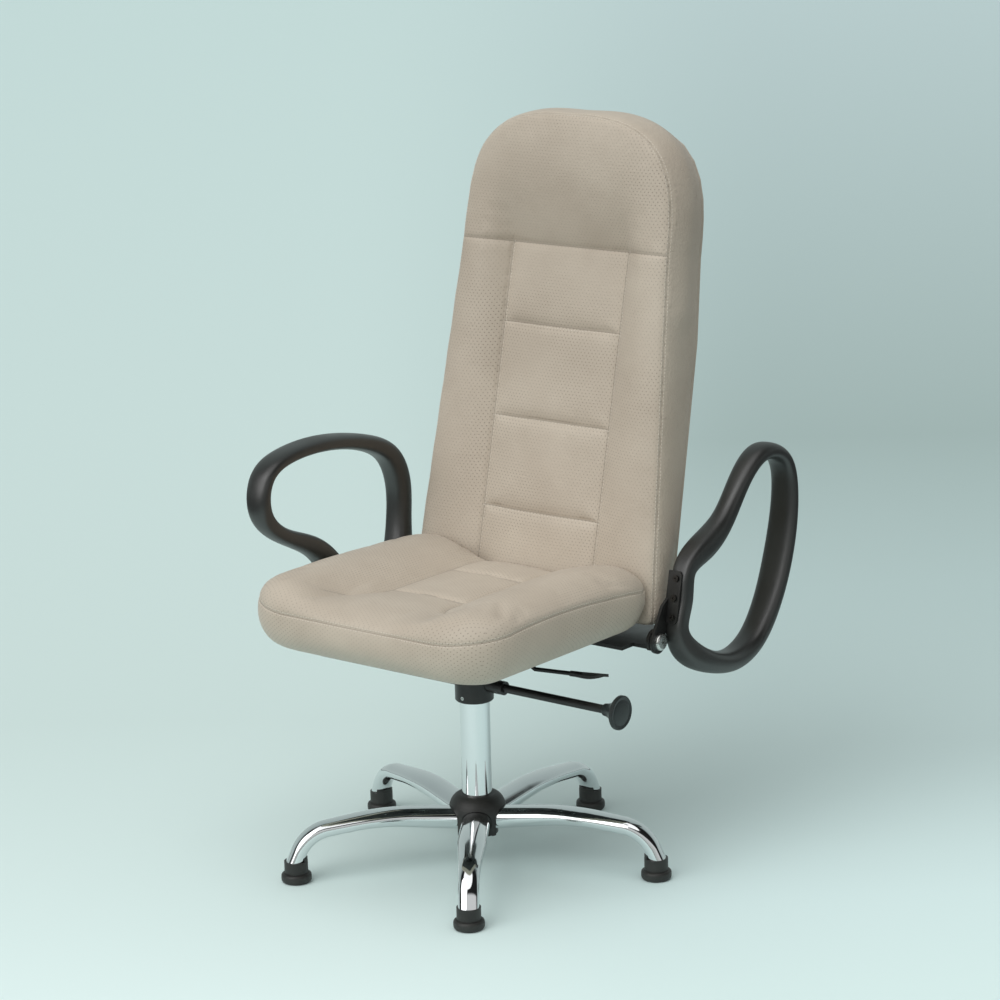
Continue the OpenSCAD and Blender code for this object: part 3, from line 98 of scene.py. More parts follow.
def feed(tree, node, inputs):
    """Gives a node's inputs a value each, or an output socket to link."""
    for key, value in inputs.items():
        if isinstance(value, bpy.types.NodeSocket):
            tree.links.new(value, node.inputs[key])
        else:
            node.inputs[key].default_value = value


def add_node(tree, kind, inputs=None, stops=(), **settings):
    """A node with its inputs and settings. A shader kind goes without its prefix, and stops
    are a colour ramp's places and hex colours."""
    node = tree.nodes.new(kind if "Node" in kind else "ShaderNode" + kind)
    for key, value in settings.items():
        setattr(node, key, value)
    feed(tree, node, inputs or {})
    for k, (at, code) in enumerate(stops):
        ramp = node.color_ramp.elements
        stop = ramp[k] if k < len(ramp) else ramp.new(at)
        stop.position, stop.color = at, linear(code)
    return node


def new_material(name, **surface):
    """A material whose Principled shader takes the given constant values, and the piece's
    own coordinates for its patterns."""
    material = bpy.data.materials.new(name)
    material.use_nodes = True
    tree = material.node_tree
    shader = tree.nodes["Principled BSDF"]
    feed(tree, shader, {key.replace("_", " "): value for key, value in surface.items()})
    return material, tree, shader, add_node(tree, "TexCoord").outputs["Object"]


def mottled(name, patches, stops, gloss=None, grain=None, dents=None, **surface):
    """A material in patches of tone and, with gloss, of roughness, over a fine grain."""
    material, tree, shader, place = new_material(name, **surface)
    patch = add_node(tree, "TexNoise", {"Vector": place, **patches})
    tone = add_node(tree, "ValToRGB", {"Fac": patch.outputs["Fac"]}, stops=stops)
    feed(tree, shader, {"Base Color": tone.outputs["Color"]})
    if gloss:
        sheen = add_node(tree, "MapRange", {
            "Value": patch.outputs["Fac"], "To Min": gloss[0], "To Max": gloss[1]})
        feed(tree, shader, {"Roughness": sheen.outputs["Result"]})
    if grain:
        fine = add_node(tree, "TexNoise", {"Vector": place, **grain})
        bump = add_node(tree, "Bump", {
            "Height": fine.outputs["Fac"], "Strength": dents[0], "Distance": dents[1]})
        feed(tree, shader, {"Normal": bump.outputs["Normal"]})
    return material


def finish_node(name, material):
    """Gives a CAD node its finish."""
    for slot in nodes[name].material_slots:
        slot.material = material


# Dust in the mould's spark grain, whose 0.4 mm is drawn at 1.2 mm, where the render can show it
nylon = mottled(
    "moulded_nylon", {"Scale": 28, "Detail": 4}, [(0.35, "#1d1d1b"), (0.75, "#2e2e2b")],
    gloss=(0.42, 0.58), grain={"Scale": 830, "Detail": 2}, dents=(0.25, 0.0003), IOR=1.53)
for name in ["hub_cover", "column_bush", "foot_1", "foot_2", "foot_3", "foot_4", "foot_5"]:
    finish_node(name, nylon)


# ------------------------------------------------ legs and column
# Five oval steel tubes bent down at the knee, and the round column, all polished and
# chromed. Each leg is the same bent tube, turned 72 degrees from the last.

def bright_chrome():
    material, tree, shader, place = new_material("bright_chrome", Metallic=1.0)
    # Handling leaves faint dull patches 20 to 60 mm across on the polish
    haze = add_node(tree, "TexNoise", {"Vector": place, "Scale": 24, "Detail": 5})
    dull = add_node(tree, "MapRange", {
        "Value": haze.outputs["Fac"], "From Min": 0.35, "From Max": 0.8, "To Min": 0.045,
        "To Max": 0.13})
    # The tube under the plate keeps a slight waviness from bending and polishing
    wave = add_node(tree, "TexNoise", {"Vector": place, "Scale": 16, "Detail": 1})
    bump = add_node(tree, "Bump", {"Height": wave.outputs["Fac"], "Strength": 0.3, "Distance": 0.0012})
    feed(tree, shader, {
        "Base Color": linear("#e3e6e7"), "Roughness": dull.outputs["Result"],
        "Normal": bump.outputs["Normal"]})
    return material


def bend(before, corner, after, radius, steps):
    """Points (x, z, heading) on the arc that rounds a corner of a path."""
    before, corner, after = (np.array(p, float) for p in (before, corner, after))
    u, v = corner - before, after - corner
    u, v = u / np.linalg.norm(u), v / np.linalg.norm(v)
    angle = math.atan2(u[0] * v[1] - u[1] * v[0], u @ v)
    side = math.copysign(1, angle)
    start = corner - u * radius * math.tan(abs(angle) / 2)
    centre = start + side * radius * np.array([-u[1], u[0]])
    first = math.atan2(u[1], u[0])
    return [(centre[0] + side * radius * math.sin(a), centre[1] - side * radius * math.cos(a), a)
            for a in first + angle * np.linspace(0, 1, steps + 1)]


def oval(width, height, power, count):
    """Points of a superellipse, from a rounded box at a high power to an oval at 2."""
    a = 2 * math.pi * (np.arange(count) + 0.5) / count
    return np.stack([width / 2 * np.sign(np.cos(a)) * np.abs(np.cos(a)) ** (2 / power),
                     height / 2 * np.sign(np.sin(a)) * np.abs(np.sin(a)) ** (2 / power)], 1)


def ease(low, high, value):
    """Smooth step from 0 to 1 while value goes from low to high."""
    t = np.clip((value - low) / (high - low), 0, 1)
    return t * t * (3 - 2 * t)


def skin(name, rings, closed=False):
    """Smooth mesh object over rings of equally many points."""
    count, mesh = len(rings[0]), bpy.data.meshes.new(name)
    loops = len(rings) if closed else len(rings) - 1
    faces = [(k * count + i, k * count + (i + 1) % count,
              (k + 1) % len(rings) * count + (i + 1) % count, (k + 1) % len(rings) * count + i)
             for k in range(loops) for i in range(count)]
    if not closed:
        faces += [tuple(reversed(range(count))), tuple(range(loops * count, (loops + 1) * count))]
    mesh.from_pydata([tuple(p) for ring in rings for p in ring], [], faces)
    shell = bmesh.new()
    shell.from_mesh(mesh)
    bmesh.ops.recalc_face_normals(shell, faces=shell.faces)
    for face in shell.faces:
        face.smooth = len(face.verts) == 4
        for side in face.edges if len(face.verts) > 4 else []:
            side.smooth = False
    shell.to_mesh(mesh)
    shell.free()
    piece = bpy.data.objects.new(name, mesh)
    scene.collection.objects.link(piece)
    return piece


def settle(piece, name):
    """The piece with its modifiers worked into a plain mesh of its own."""
    made = bpy.data.meshes.new_from_object(piece.evaluated_get(bpy.context.evaluated_depsgraph_get()))
    old = piece.data
    piece.modifiers.clear()
    piece.data = made
    bpy.data.meshes.remove(old)
    piece.name = made.name = name
    return piece


def set_input(modifier, name, value):
    """Sets a node modifier's input by its socket's identifier."""
    for item in modifier.node_group.interface.items_tree:
        if item.name == name and item.in_out == "INPUT":
            modifier[item.identifier] = value


leg_width, leg_end_width = 0.048, 0.034
leg_height, leg_bend_height = 0.038, 0.027
leg_root, leg_crest, leg_knee = (0.0335, 0.0785), (0.165, 0.0955), (0.290, 0.0815)
foot_top = 0.036
leg_end = (0.311, foot_top)

leg_line = [(leg_root[0] + 0.0006, leg_root[1], 0)]
leg_line += bend(leg_root, leg_crest, leg_knee, 0.400, 28)
leg_line += bend(leg_crest, leg_knee, leg_end, 0.062, 30)
leg_line.append((leg_line[-1][0] + 0.05 * math.cos(leg_line[-1][2]),
                 leg_line[-1][1] + 0.05 * math.sin(leg_line[-1][2]), leg_line[-1][2]))
leg_rings = []
for x, z, heading in leg_line:
    high = leg_height + (leg_bend_height - leg_height) * ease(leg_root[0], leg_crest[0] + leg_width, x)
    wide = leg_width + (leg_end_width - leg_width) * ease(leg_crest[0], leg_end[0], x)
    leg_rings.append([(x - s[1] * math.sin(heading), s[0], z + s[1] * math.cos(heading))
                      for s in oval(wide, high, 2.2, 64)])
legs = skin("chrome_legs", leg_rings)
trimmed = bmesh.new()
trimmed.from_mesh(legs.data)
cut = bmesh.ops.bisect_plane(trimmed, geom=trimmed.verts[:] + trimmed.edges[:] + trimmed.faces[:],
                             plane_co=(0, 0, foot_top), plane_no=(0, 0, -1), clear_outer=True)
foot_end = [e for e in cut["geom_cut"] if isinstance(e, bmesh.types.BMEdge)]
bmesh.ops.contextual_create(trimmed, geom=foot_end)
for side in foot_end:
    side.smooth = False
trimmed.to_mesh(legs.data)
trimmed.free()

star = bpy.data.node_groups.new("legs_round_the_hub", "GeometryNodeTree")
for name, way, kind in [("Leg", "INPUT", "Geometry"), ("Legs", "OUTPUT", "Geometry"),
                        ("Count", "INPUT", "Int"), ("First turn", "INPUT", "Float"),
                        ("Material", "INPUT", "Material")]:
    star.interface.new_socket(name, in_out=way, socket_type="NodeSocket" + kind)
given = add_node(star, "NodeGroupInput")
leg = add_node(star, "GeometryNodeGeometryToInstance", {0: given.outputs["Leg"]})
copies = add_node(star, "GeometryNodeDuplicateElements", {
    0: leg.outputs[0], "Amount": given.outputs["Count"]}, domain="INSTANCE")
step = add_node(star, "Math", {0: 2 * math.pi, 1: given.outputs["Count"]}, operation="DIVIDE")
angle = add_node(star, "Math", {
    0: copies.outputs["Duplicate Index"], 1: step.outputs[0], 2: given.outputs["First turn"]},
    operation="MULTIPLY_ADD")
around = add_node(star, "CombineXYZ", {"Z": angle.outputs[0]})
turned = add_node(star, "GeometryNodeRotateInstances", {
    "Instances": copies.outputs[0], "Rotation": around.outputs[0], "Local Space": False})
real = add_node(star, "GeometryNodeRealizeInstances", {0: turned.outputs[0]})
painted = add_node(star, "GeometryNodeSetMaterial", {
    0: real.outputs[0], "Material": given.outputs["Material"]})
add_node(star, "NodeGroupOutput", {0: painted.outputs[0]})

chrome = bright_chrome()
modifier = legs.modifiers.new("star", "NODES")
modifier.node_group = star
set_input(modifier, "Count", 5)
set_input(modifier, "First turn", math.radians(36 - 90))
set_input(modifier, "Material", chrome)
settle(legs, "chrome_legs")
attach(legs, "base")
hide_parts("leg_1", "leg_2", "leg_3", "leg_4", "leg_5")
for name in ["column_tube", "piston_rod"]:
    finish_node(name, chrome)


# ------------------------------------------------ steel frame
# Welded mild steel: hub, brake collar and screw, seat mechanism, cross plate, back bar,
# lever and armrest hinges. Satin black powder coat, baked on, with its orange-peel skin.

# Orange peel of about 1.5 mm, and wear that dulls it in patches
powder_coat = mottled(
    "black_powder_coat", {"Scale": 40, "Detail": 6}, [(0.4, "#151514"), (0.8, "#242422")],
    gloss=(0.3, 0.5), grain={"Scale": 650, "Detail": 1}, dents=(0.2, 0.0003), IOR=1.5, Coat_Weight=0.12,
    Coat_Roughness=0.25)
for name in ["base_hub", "rod_clip", "gas_cylinder", "brake_collar", "brake_screw", "seat_mechanism",
             "release_lever", "cross_plate", "back_bar", "arm_hinge_left", "arm_hinge_right"]:
    finish_node(name, powder_coat)


# ------------------------------------------------ knob and grip
# The brake knob is moulded nylon in dark grey, pressed on its screw and satin from handling.
# The lever's grip and the board under the seat are the black nylon of the feet.

# Flow marks drawn out from the gate, under a satin grain
finish_node("brake_knob", mottled(
    "grey_knob_plastic", {"Scale": 60, "Detail": 4, "Distortion": 0.6}, [(0, "#1f2424"), (1, "#2b3131")],
    grain={"Scale": 900, "Detail": 1}, dents=(0.15, 0.0002), IOR=1.5, Roughness=0.42))
finish_node("lever_grip", nylon)
finish_node("seat_board", nylon)


# ------------------------------------------------ bolts, pins and bearing
# Cold-headed steel, screwed in or pressed. Bright zinc plate gives a cool grey with soft
# glints; the armrests' screws are blackened.

def zinc_plate():
    material, tree, shader, place = new_material("zinc_plate", Metallic=1.0)
    # Spangle of about 3 mm
    spangle = add_node(tree, "TexVoronoi", {"Vector": place, "Scale": 330})
    tone = add_node(tree, "MapRange", {
        "Value": spangle.outputs["Color"], "To Min": 0.2, "To Max": 0.34})
    feed(tree, shader, {"Base Color": linear("#c9cbc8"), "Roughness": tone.outputs["Result"]})
    return material


zinc = zinc_plate()
for name in ["bearing_plate", "thrust_bearing", "valve_pin", "collar_grub_screws", "brake_shoe",
             "lever_pin", "mechanism_bolts", "bar_bolts", "back_bolts", "stop_pins", "pivot_bolt_left",
             "pivot_bolt_right"]:
    finish_node(name, zinc)

# Blackened in hot salts and oiled: a dull brown-black
black_steel = mottled(
    "blackened_steel", {"Scale": 300, "Detail": 3}, [(0, "#2b2a29"), (1, "#4a4845")], Metallic=1.0,
    Roughness=0.4)
for name in ["arm_screws_left", "arm_screws_right"]:
    finish_node(name, black_steel)


# ------------------------------------------------ armrest hinge washers
# Natural acetal, turned from bar and pushed on the hinge's bolt: a waxy off-white, a little
# cloudy and without grain, that only shows at its edge.

finish_node("hinge_washers", mottled(
    "natural_acetal", {"Scale": 120, "Detail": 3}, [(0, "#d8d4c6"), (1, "#e6e3d8")], Roughness=0.38,
    IOR=1.48))


# ------------------------------------------------ armrests
# Polyurethane foam moulded over a steel core, with its own tough skin. The mould gives
# a fine grain and satin gloss, brighter where hands rub it.

def integral_skin_foam():
    material, tree, shader, place = new_material("integral_skin_foam", IOR=1.5, Specular_IOR_Level=0.9)
    # Moulded hide grain, 1 mm cells drawn at 1.6 mm
    cells = add_node(tree, "TexVoronoi", {"Vector": place, "Scale": 620}, feature="SMOOTH_F1")
    bump = add_node(tree, "Bump", {
        "Height": cells.outputs["Distance"], "Strength": 0.2, "Distance": 0.0003})
    rub = add_node(tree, "TexNoise", {"Vector": place, "Scale": 14, "Detail": 3})
    sheen = add_node(tree, "MapRange", {
        "Value": rub.outputs["Fac"], "From Min": 0.3, "From Max": 0.7, "To Min": 0.34, "To Max": 0.46})
    tone = add_node(tree, "ValToRGB", {"Fac": rub.outputs["Fac"]},
                    stops=[(0, "#1a1b19"), (1, "#262725")])
    feed(tree, shader, {
        "Base Color": tone.outputs["Color"], "Roughness": sheen.outputs["Result"],
        "Normal": bump.outputs["Normal"]})
    return material


# Places round the loop in use: x, y, z, width, thickness and squareness of the section. The
# first three are the straight run that its hinge is screwed under
arm_places = [
    (0.2875, 0.1200, 0.4190, 0.0340, 0.0300, 4), (0.2875, 0.0700, 0.4200, 0.0340, 0.0300, 4),
    (0.2875, 0.0200, 0.4200, 0.0340, 0.0300, 4), (0.2871, -0.0157, 0.4600, 0.0421, 0.0415, 3),
    (0.2892, -0.0610, 0.5088, 0.0375, 0.0370, 2.5), (0.2926, -0.1298, 0.5433, 0.0393, 0.0274, 2.5),
    (0.2953, -0.1776, 0.5900, 0.0435, 0.0285, 2.5), (0.2966, -0.1689, 0.6488, 0.0465, 0.0246, 2.5),
    (0.2986, -0.1076, 0.6753, 0.0512, 0.0226, 2.5), (0.2976, -0.0141, 0.6785, 0.0553, 0.0251, 2.5),
    (0.2959, 0.0729, 0.6629, 0.0527, 0.0290, 2.5), (0.2931, 0.1360, 0.6327, 0.0491, 0.0344, 2.5),
    (0.2961, 0.1688, 0.5734, 0.0467, 0.0359, 2.5), (0.2985, 0.1706, 0.5036, 0.0449, 0.0381, 2.5),
    (0.2921, 0.1549, 0.4512, 0.0461, 0.0406, 3)]
pivot, fold = (0.139, 0.388), math.radians(102.3)


def closed_curve(places, count):
    """Smooth closed curve through places: its points and their headings."""
    places = np.array(places)
    size = len(places)
    step = np.linalg.norm(np.roll(places, -1, 0)[:, 1:3] - places[:, 1:3], axis=1) ** 0.75
    before = np.roll(step, 1)
    rise = (np.roll(places, -1, 0) - places) / step[:, None]
    rows = np.zeros((size, size))
    for k in range(size):
        rows[k, [k - 1, k, (k + 1) % size]] = step[k], 2 * (step[k] + before[k]), before[k]
    slope = np.linalg.solve(rows, 3 * (step[:, None] * np.roll(rise, 1, 0) + before[:, None] * rise))
    ends = np.concatenate([[0], np.cumsum(step)])
    at = np.linspace(0, ends[-1], count, endpoint=False)
    k = np.searchsorted(ends, at, side="right") - 1
    t, h = ((at - ends[k]) / step[k])[:, None], step[k][:, None]
    p, q, m, n = places[k], places[(k + 1) % size], slope[k] * h, slope[(k + 1) % size] * h
    curve = ((2 * t**3 - 3 * t**2 + 1) * p + (t**3 - 2 * t**2 + t) * m
             + (3 * t**2 - 2 * t**3) * q + (t**3 - t**2) * n)
    way = (6 * t**2 - 6 * t) * (p - q) + (3 * t**2 - 4 * t + 1) * m + (3 * t**2 - 2 * t) * n
    return curve, np.arctan2(way[:, 2], way[:, 1])


arm_rings = []
for (x, y, z, wide, thick, power), heading in zip(*closed_curve(arm_places, 240)):
    arm_rings.append([(x + s[0], y - s[1] * math.sin(heading), z + s[1] * math.cos(heading))
                      for s in oval(wide, thick, power, 48)])


def folded_up(x, y, z):
    """A point of the loop in use, turned up about the hinge's bolt beside the back."""
    y, z = y - pivot[0], z - pivot[1]
    return (x, pivot[0] + y * math.cos(fold) + z * math.sin(fold),
            pivot[1] - y * math.sin(fold) + z * math.cos(fold))


foam_skin = integral_skin_foam()
for body, node, put in [("arm_left", "armrest_left", lambda x, y, z: (-x, y, z)),
                        ("arm_right", "armrest_right", folded_up)]:
    loop = skin(node + "_skin", [[put(*p) for p in ring] for ring in arm_rings], closed=True)
    loop.data.materials.append(foam_skin)
    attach(loop, body)
    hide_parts(node)


# ------------------------------------------------ seat cushion
# Moulded foam in a sewn cover of perforated leatherette: a boxing round the sides, two
# bolsters and a sunk centre panel with sewn channels. The cover is pulled over the foam,
# so each panel swells between its seams.

def leatherette(name, holed):
    """PVC on a knitted back, embossed with hide grain; needle punched where it's holed."""
    material, tree, shader, place = new_material(
        name, Roughness=0.55, IOR=1.48, Sheen_Weight=0.1, Sheen_Roughness=0.5)
    soil = add_node(tree, "TexNoise", {"Vector": place, "Scale": 7, "Detail": 5, "Roughness": 0.6})
    tone = add_node(tree, "ValToRGB", {"Fac": soil.outputs["Fac"]},
                    stops=[(0.3, "#b5a898"), (0.7, "#c2b6a6")])
    colour = tone.outputs["Color"]
    # Hide grain: creases about 4 mm apart with a fine 1.5 mm pebble on them
    hide = add_node(tree, "TexVoronoi", {"Vector": place, "Scale": 260}, feature="SMOOTH_F1")
    grain = add_node(tree, "TexNoise", {"Vector": place, "Scale": 640, "Detail": 3, "Roughness": 0.6})
    pebble = add_node(tree, "Bump", {
        "Height": grain.outputs["Fac"], "Distance": 0.0006, "Strength": 0.3 if holed else 0.5})
    normal = add_node(tree, "Bump", {
        "Height": hide.outputs["Distance"], "Strength": 0.3 if holed else 0.6, "Distance": 0.001,
        "Normal": pebble.outputs["Normal"]}).outputs["Normal"]
    if holed:
        # Staggered rows: holes 7 mm apart across and 10 mm along, with one in each middle
        flat = add_node(tree, "UVMap", uv_map="cover").outputs["UV"]
        half = (0.0035, 0.005, 1)
        offset = add_node(tree, "VectorMath", {0: flat, 1: half}, operation="ADD")
        distances = []
        for spot in (flat, offset.outputs[0]):
            wrapped = add_node(tree, "VectorMath", {
                0: spot, 1: half, 2: [-h for h in half]}, operation="WRAP")
            flattened = add_node(tree, "VectorMath", {
                0: wrapped.outputs[0], 1: (1, 1, 0)}, operation="MULTIPLY")
            distances.append(add_node(tree, "VectorMath", {
                0: flattened.outputs[0]}, operation="LENGTH").outputs["Value"])
        nearest = add_node(tree, "Math", {0: distances[0], 1: distances[1]}, operation="MINIMUM")
        # Holes of 1.2 mm drawn at 1.8 mm
        hole = add_node(tree, "MapRange", {
            "Value": nearest.outputs[0], "From Min": 0.0005, "From Max": 0.0012, "To Min": 1,
            "To Max": 0}, interpolation_type="SMOOTHSTEP")
        # The knitted back closes the holes more in some patches than in others
        patch = add_node(tree, "TexNoise", {"Vector": place, "Scale": 6, "Detail": 2})
        open_share = add_node(tree, "MapRange", {
            "Value": patch.outputs["Fac"], "From Min": 0.35, "From Max": 0.65, "To Min": 0.25,
            "To Max": 0.7})
        depth = add_node(tree, "Math", {
            0: hole.outputs["Result"], 1: open_share.outputs["Result"]}, operation="MULTIPLY")
        # The holes are drawn dark: painted shade inside them, and the knitted back seen through them
        shade = add_node(tree, "Mix", {
            "Factor": depth.outputs[0], 6: colour, 7: linear("#6a6055")}, data_type="RGBA")
        normal = add_node(tree, "Bump", {
            "Height": depth.outputs[0], "Strength": 0.6, "Distance": 0.0006, "Normal": normal},
            invert=True).outputs["Normal"]
        # Sewn lines: the distances to the three sorts of seam are kept on the cover; along them the
        # colour is darkened with painted shade in the seam's groove
        sewn = add_node(tree, "Attribute", attribute_name="seams").outputs["Vector"]
        apart = add_node(tree, "VectorMath", {0: sewn}, operation="ABSOLUTE")
        each = add_node(tree, "SeparateXYZ", {0: apart.outputs[0]})
        least = add_node(tree, "Math", {
            0: each.outputs["X"], 1: each.outputs["Y"]}, operation="MINIMUM")
        near = add_node(tree, "Math", {0: least.outputs[0], 1: each.outputs["Z"]}, operation="MINIMUM")
        line = add_node(tree, "MapRange", {
            "Value": near.outputs[0], "From Min": 0.0003, "From Max": 0.0013, "To Min": 0.42,
            "To Max": 0}, interpolation_type="SMOOTHSTEP")
        # Painted shade: the seam's groove drawn as a dark line in the colour
        seam_shade = add_node(tree, "Mix", {
            "Factor": line.outputs["Result"], 6: shade.outputs[2], 7: linear("#5f554a")},
            data_type="RGBA")
        turn_in = add_node(tree, "MapRange", {
            "Value": near.outputs[0], "From Min": 0, "From Max": 0.005},
            interpolation_type="SMOOTHERSTEP")
        normal = add_node(tree, "Bump", {
            "Height": turn_in.outputs["Result"], "Strength": 0.45, "Distance": 0.0018,
            "Normal": normal}).outputs["Normal"]
        colour = seam_shade.outputs[2]
    feed(tree, shader, {"Base Color": colour, "Normal": normal})
    return material


def swell(name, node, voxel, most, seams, hold, soften):
    """The cushion of a CAD node: its solid remeshed, its flats rounded off as much as soften
    says, then blown up between the points that its seams and its board hold, by most metres
    at the farthest and less beside the outer seam, which comes first."""
    piece = bpy.data.objects.new(name, nodes[node].data.copy())
    scene.collection.objects.link(piece)
    solid = bmesh.new()
    solid.from_mesh(piece.data)
    bmesh.ops.remove_doubles(solid, verts=solid.verts, dist=1e-5)
    solid.to_mesh(piece.data)
    solid.free()
    remesh = piece.modifiers.new("remesh", "REMESH")
    remesh.mode, remesh.voxel_size = "VOXEL", voxel
    solid = surface_of(piece.data)
    settle(piece, name)
    start = np.array([solid.find_nearest(Vector(p))[0] for p in points_of(piece.data)])
    start = round_off(piece.data, start, soften(start), 70)
    put_points(piece.data, start)
    near = distance_to(seams, start)
    limit = most * (0.12 + 0.88 * ease(0, 0.05, distance_to(seams[:1], start)))[:, None]
    held = np.clip(1.15 - near / (2.2 * voxel), 0, 1)
    held = np.maximum(held, hold(start))
    group = piece.vertex_groups.new(name="held")
    for i in np.nonzero(held > 0.02)[0]:
        group.add([int(i)], float(held[i]), "REPLACE")
    cloth = piece.modifiers.new("cover", "CLOTH")
    cloth.settings.quality = 4
    cloth.settings.mass = 0.4
    cloth.settings.tension_stiffness = cloth.settings.compression_stiffness = 12
    cloth.settings.bending_stiffness = 1.5
    cloth.settings.use_pressure = True
    cloth.settings.uniform_pressure_force = 4
    cloth.settings.effector_weights.gravity = 0
    cloth.settings.vertex_group_mass = "held"
    cloth.settings.pin_stiffness = 3
    cloth.collision_settings.use_collision = False
    cloth.point_cache.frame_start, cloth.point_cache.frame_end = 1, 20
    for step in range(1, 21):
        scene.frame_set(step)
    settle(piece, name)
    scene.frame_set(1)
    moved = points_of(piece.data) - start
    far = np.linalg.norm(moved, axis=1, keepdims=True)
    put_points(piece.data, start + moved * np.minimum(1, limit / np.maximum(far, 1e-9)))
    finer = piece.modifiers.new("finer", "SUBSURF")
    finer.levels = finer.render_levels = 1
    return settle(piece, name)


def round_off(mesh, points, share, turns):
    """Points smoothed along the mesh by a share from 0 to 1, without the shrinking."""
    ends = np.empty(len(mesh.edges) * 2, np.int32)
    mesh.edges.foreach_get("vertices", ends)
    here, there = np.concatenate([ends[::2], ends[1::2]]), np.concatenate([ends[1::2], ends[::2]])
    order = np.argsort(here, kind="stable")
    here, there = here[order], there[order]
    starts = np.searchsorted(here, np.arange(len(points)))
    valence = np.bincount(here, minlength=len(points))[:, None]

    def smoothed(values):
        for _ in range(turns):
            means = np.add.reduceat(values[there], starts) / valence
            values = values + 0.5 * share[:, None] * (means - values)
        return values

    plain = smoothed(points)
    return plain + smoothed(points - plain)


def points_of(mesh, key="co"):
    """The mesh's points, or another vector that each of them has."""
    values = np.empty(len(mesh.vertices) * 3, np.float32)
    mesh.vertices.foreach_get(key, values)
    return values.reshape(-1, 3).astype(float)


def put_points(mesh, points):
    mesh.vertices.foreach_set("co", points.astype(np.float32).ravel())
    mesh.update()


def surface_of(mesh):
    """Search tree over a mesh's faces."""
    return BVHTree.FromPolygons(points_of(mesh).tolist(), [tuple(p.vertices) for p in mesh.polygons])


def tree_of(lines):
    """Search tree over points 2 mm apart along some lines."""
    dense = np.concatenate([resample(line, 0.002) for line in lines])
    tree = KDTree(len(dense))
    for i, p in enumerate(dense):
        tree.insert(p, i)
    tree.balance()
    return tree


def distance_to(lines, points):
    """Distance from each point to the nearest of some lines."""
    tree = tree_of(lines)
    return np.array([tree.find(p)[2] for p in points])


def resample(line, pitch):
    """Points a pitch apart along a line."""
    line = np.array(line, float)
    run = np.concatenate([[0], np.cumsum(np.linalg.norm(np.diff(line, axis=0), axis=1))])
    at = np.linspace(0, run[-1], max(2, int(run[-1] / pitch) + 1))
    return np.stack([np.interp(at, run, line[:, i]) for i in range(3)], 1)


def crease(piece, lines, depth, width):
    """Draws the cover in along sewn lines, or pushes it out where depth is below zero."""
    points = points_of(piece.data)
    pull = depth * np.exp(-(distance_to(lines, points) / width) ** 2)
    put_points(piece.data, points - points_of(piece.data, "normal") * pull[:, None])


def outline_depth(outline, points):
    """How far inside a flat outline each point is; less than zero outside it."""
    tree = tree_of([[(a, b, 0) for a, b in outline]])
    inside = np.zeros(len(points), bool)
    for (a, b), (c, d) in zip(outline, outline[1:] + outline[:1]):
        between = (points[:, 1] > b) != (points[:, 1] > d)
        if b != d:
            inside ^= between & (points[:, 0] < (c - a) * (points[:, 1] - b) / (d - b) + a)
    away = np.array([tree.find((p[0], p[1], 0))[2] for p in points])
    return np.where(inside, away, -away)


def seam_side(apart, beyond):
    """Signed distance to a seam that ends where beyond rises over zero."""
    return np.where((apart < 0) & (beyond < 0), -1, 1) * np.maximum(np.abs(apart), beyond)


def nearest_seam(sides):
    """The smallest of several signed distances, every other one turned over, so that
    two neighbours meet with the same sign."""
    sides = np.array(sides)
    return sides[np.argmin(np.abs(sides), axis=0), np.arange(sides.shape[1])]


def mark_seams(piece, rim_side, panel_side, cross_side):
    """Keeps the signed distances to the seams on the cover's points, for the painted shade along the
    seams.
    """
    layer = piece.data.attributes.new("seams", "FLOAT_VECTOR", "POINT")
    sides = np.clip(np.stack([rim_side, panel_side, cross_side], 1), -0.05, 0.05)
    layer.data.foreach_set("vector", sides.astype(np.float32).ravel())


def lay_cover(piece, grain_across):
    """UV map of the cover in metres, laid flat on each face from the side it mostly faces."""
    mesh = piece.data
    points = points_of(mesh)
    corners = np.empty(len(mesh.loops), np.int32)
    mesh.loops.foreach_get("vertex_index", corners)
    facing = np.empty(len(mesh.polygons) * 3, np.float32)
    mesh.polygons.foreach_get("normal", facing)
    sizes = np.empty(len(mesh.polygons), np.int32)
    mesh.polygons.foreach_get("loop_total", sizes)
    main = np.repeat(np.argmax(np.abs(facing.reshape(-1, 3)), axis=1), sizes)
    at = points[corners]
    first = np.where(main == 0, at[:, 1], at[:, 0])
    second = np.where(main == 2, at[:, 1], at[:, 2])
    layer = mesh.uv_layers.new(name="cover")
    sides = [second, first] if grain_across else [first, second]
    layer.data.foreach_set("uv", np.stack(sides, 1).astype(np.float32).ravel())


def stitch_row(piece, line, aside, pitch=0.0055):
    """Places, headings and outward directions of stitches beside a seam on a cushion."""
    surface = surface_of(piece.data)
    line = resample(line, pitch)
    rows = []
    for k in range(len(line)):
        along = Vector(line[min(k + 1, len(line) - 1)] - line[max(k - 1, 0)]).normalized()
        spot, normal, _, _ = surface.find_nearest(Vector(line[k]))
        beside = spot + along.cross(normal).normalized() * aside
        spot, normal, _, _ = surface.find_nearest(beside)
        rows.append((spot + normal * 0.0002, along, normal))
    return rows


def sew(name, rows, body, length, thick, material):
    """Stitches of thread as one piece, made with Geometry Nodes on the rows' points."""
    mesh = bpy.data.meshes.new(name)
    mesh.from_pydata([tuple(r[0]) for r in rows], [], [])
    for key, column in (("along", 1), ("out", 2)):
        layer = mesh.attributes.new(key, "FLOAT_VECTOR", "POINT")
        layer.data.foreach_set("vector", np.array([tuple(r[column]) for r in rows], np.float32).ravel())
    piece = bpy.data.objects.new(name, mesh)
    scene.collection.objects.link(piece)
    modifier = piece.modifiers.new("stitches", "NODES")
    modifier.node_group = bpy.data.node_groups.get("stitches") or stitch_tree()
    set_input(modifier, "Length", length)
    set_input(modifier, "Thickness", thick)
    set_input(modifier, "Thread", material)
    settle(piece, name)
    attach(piece, body)


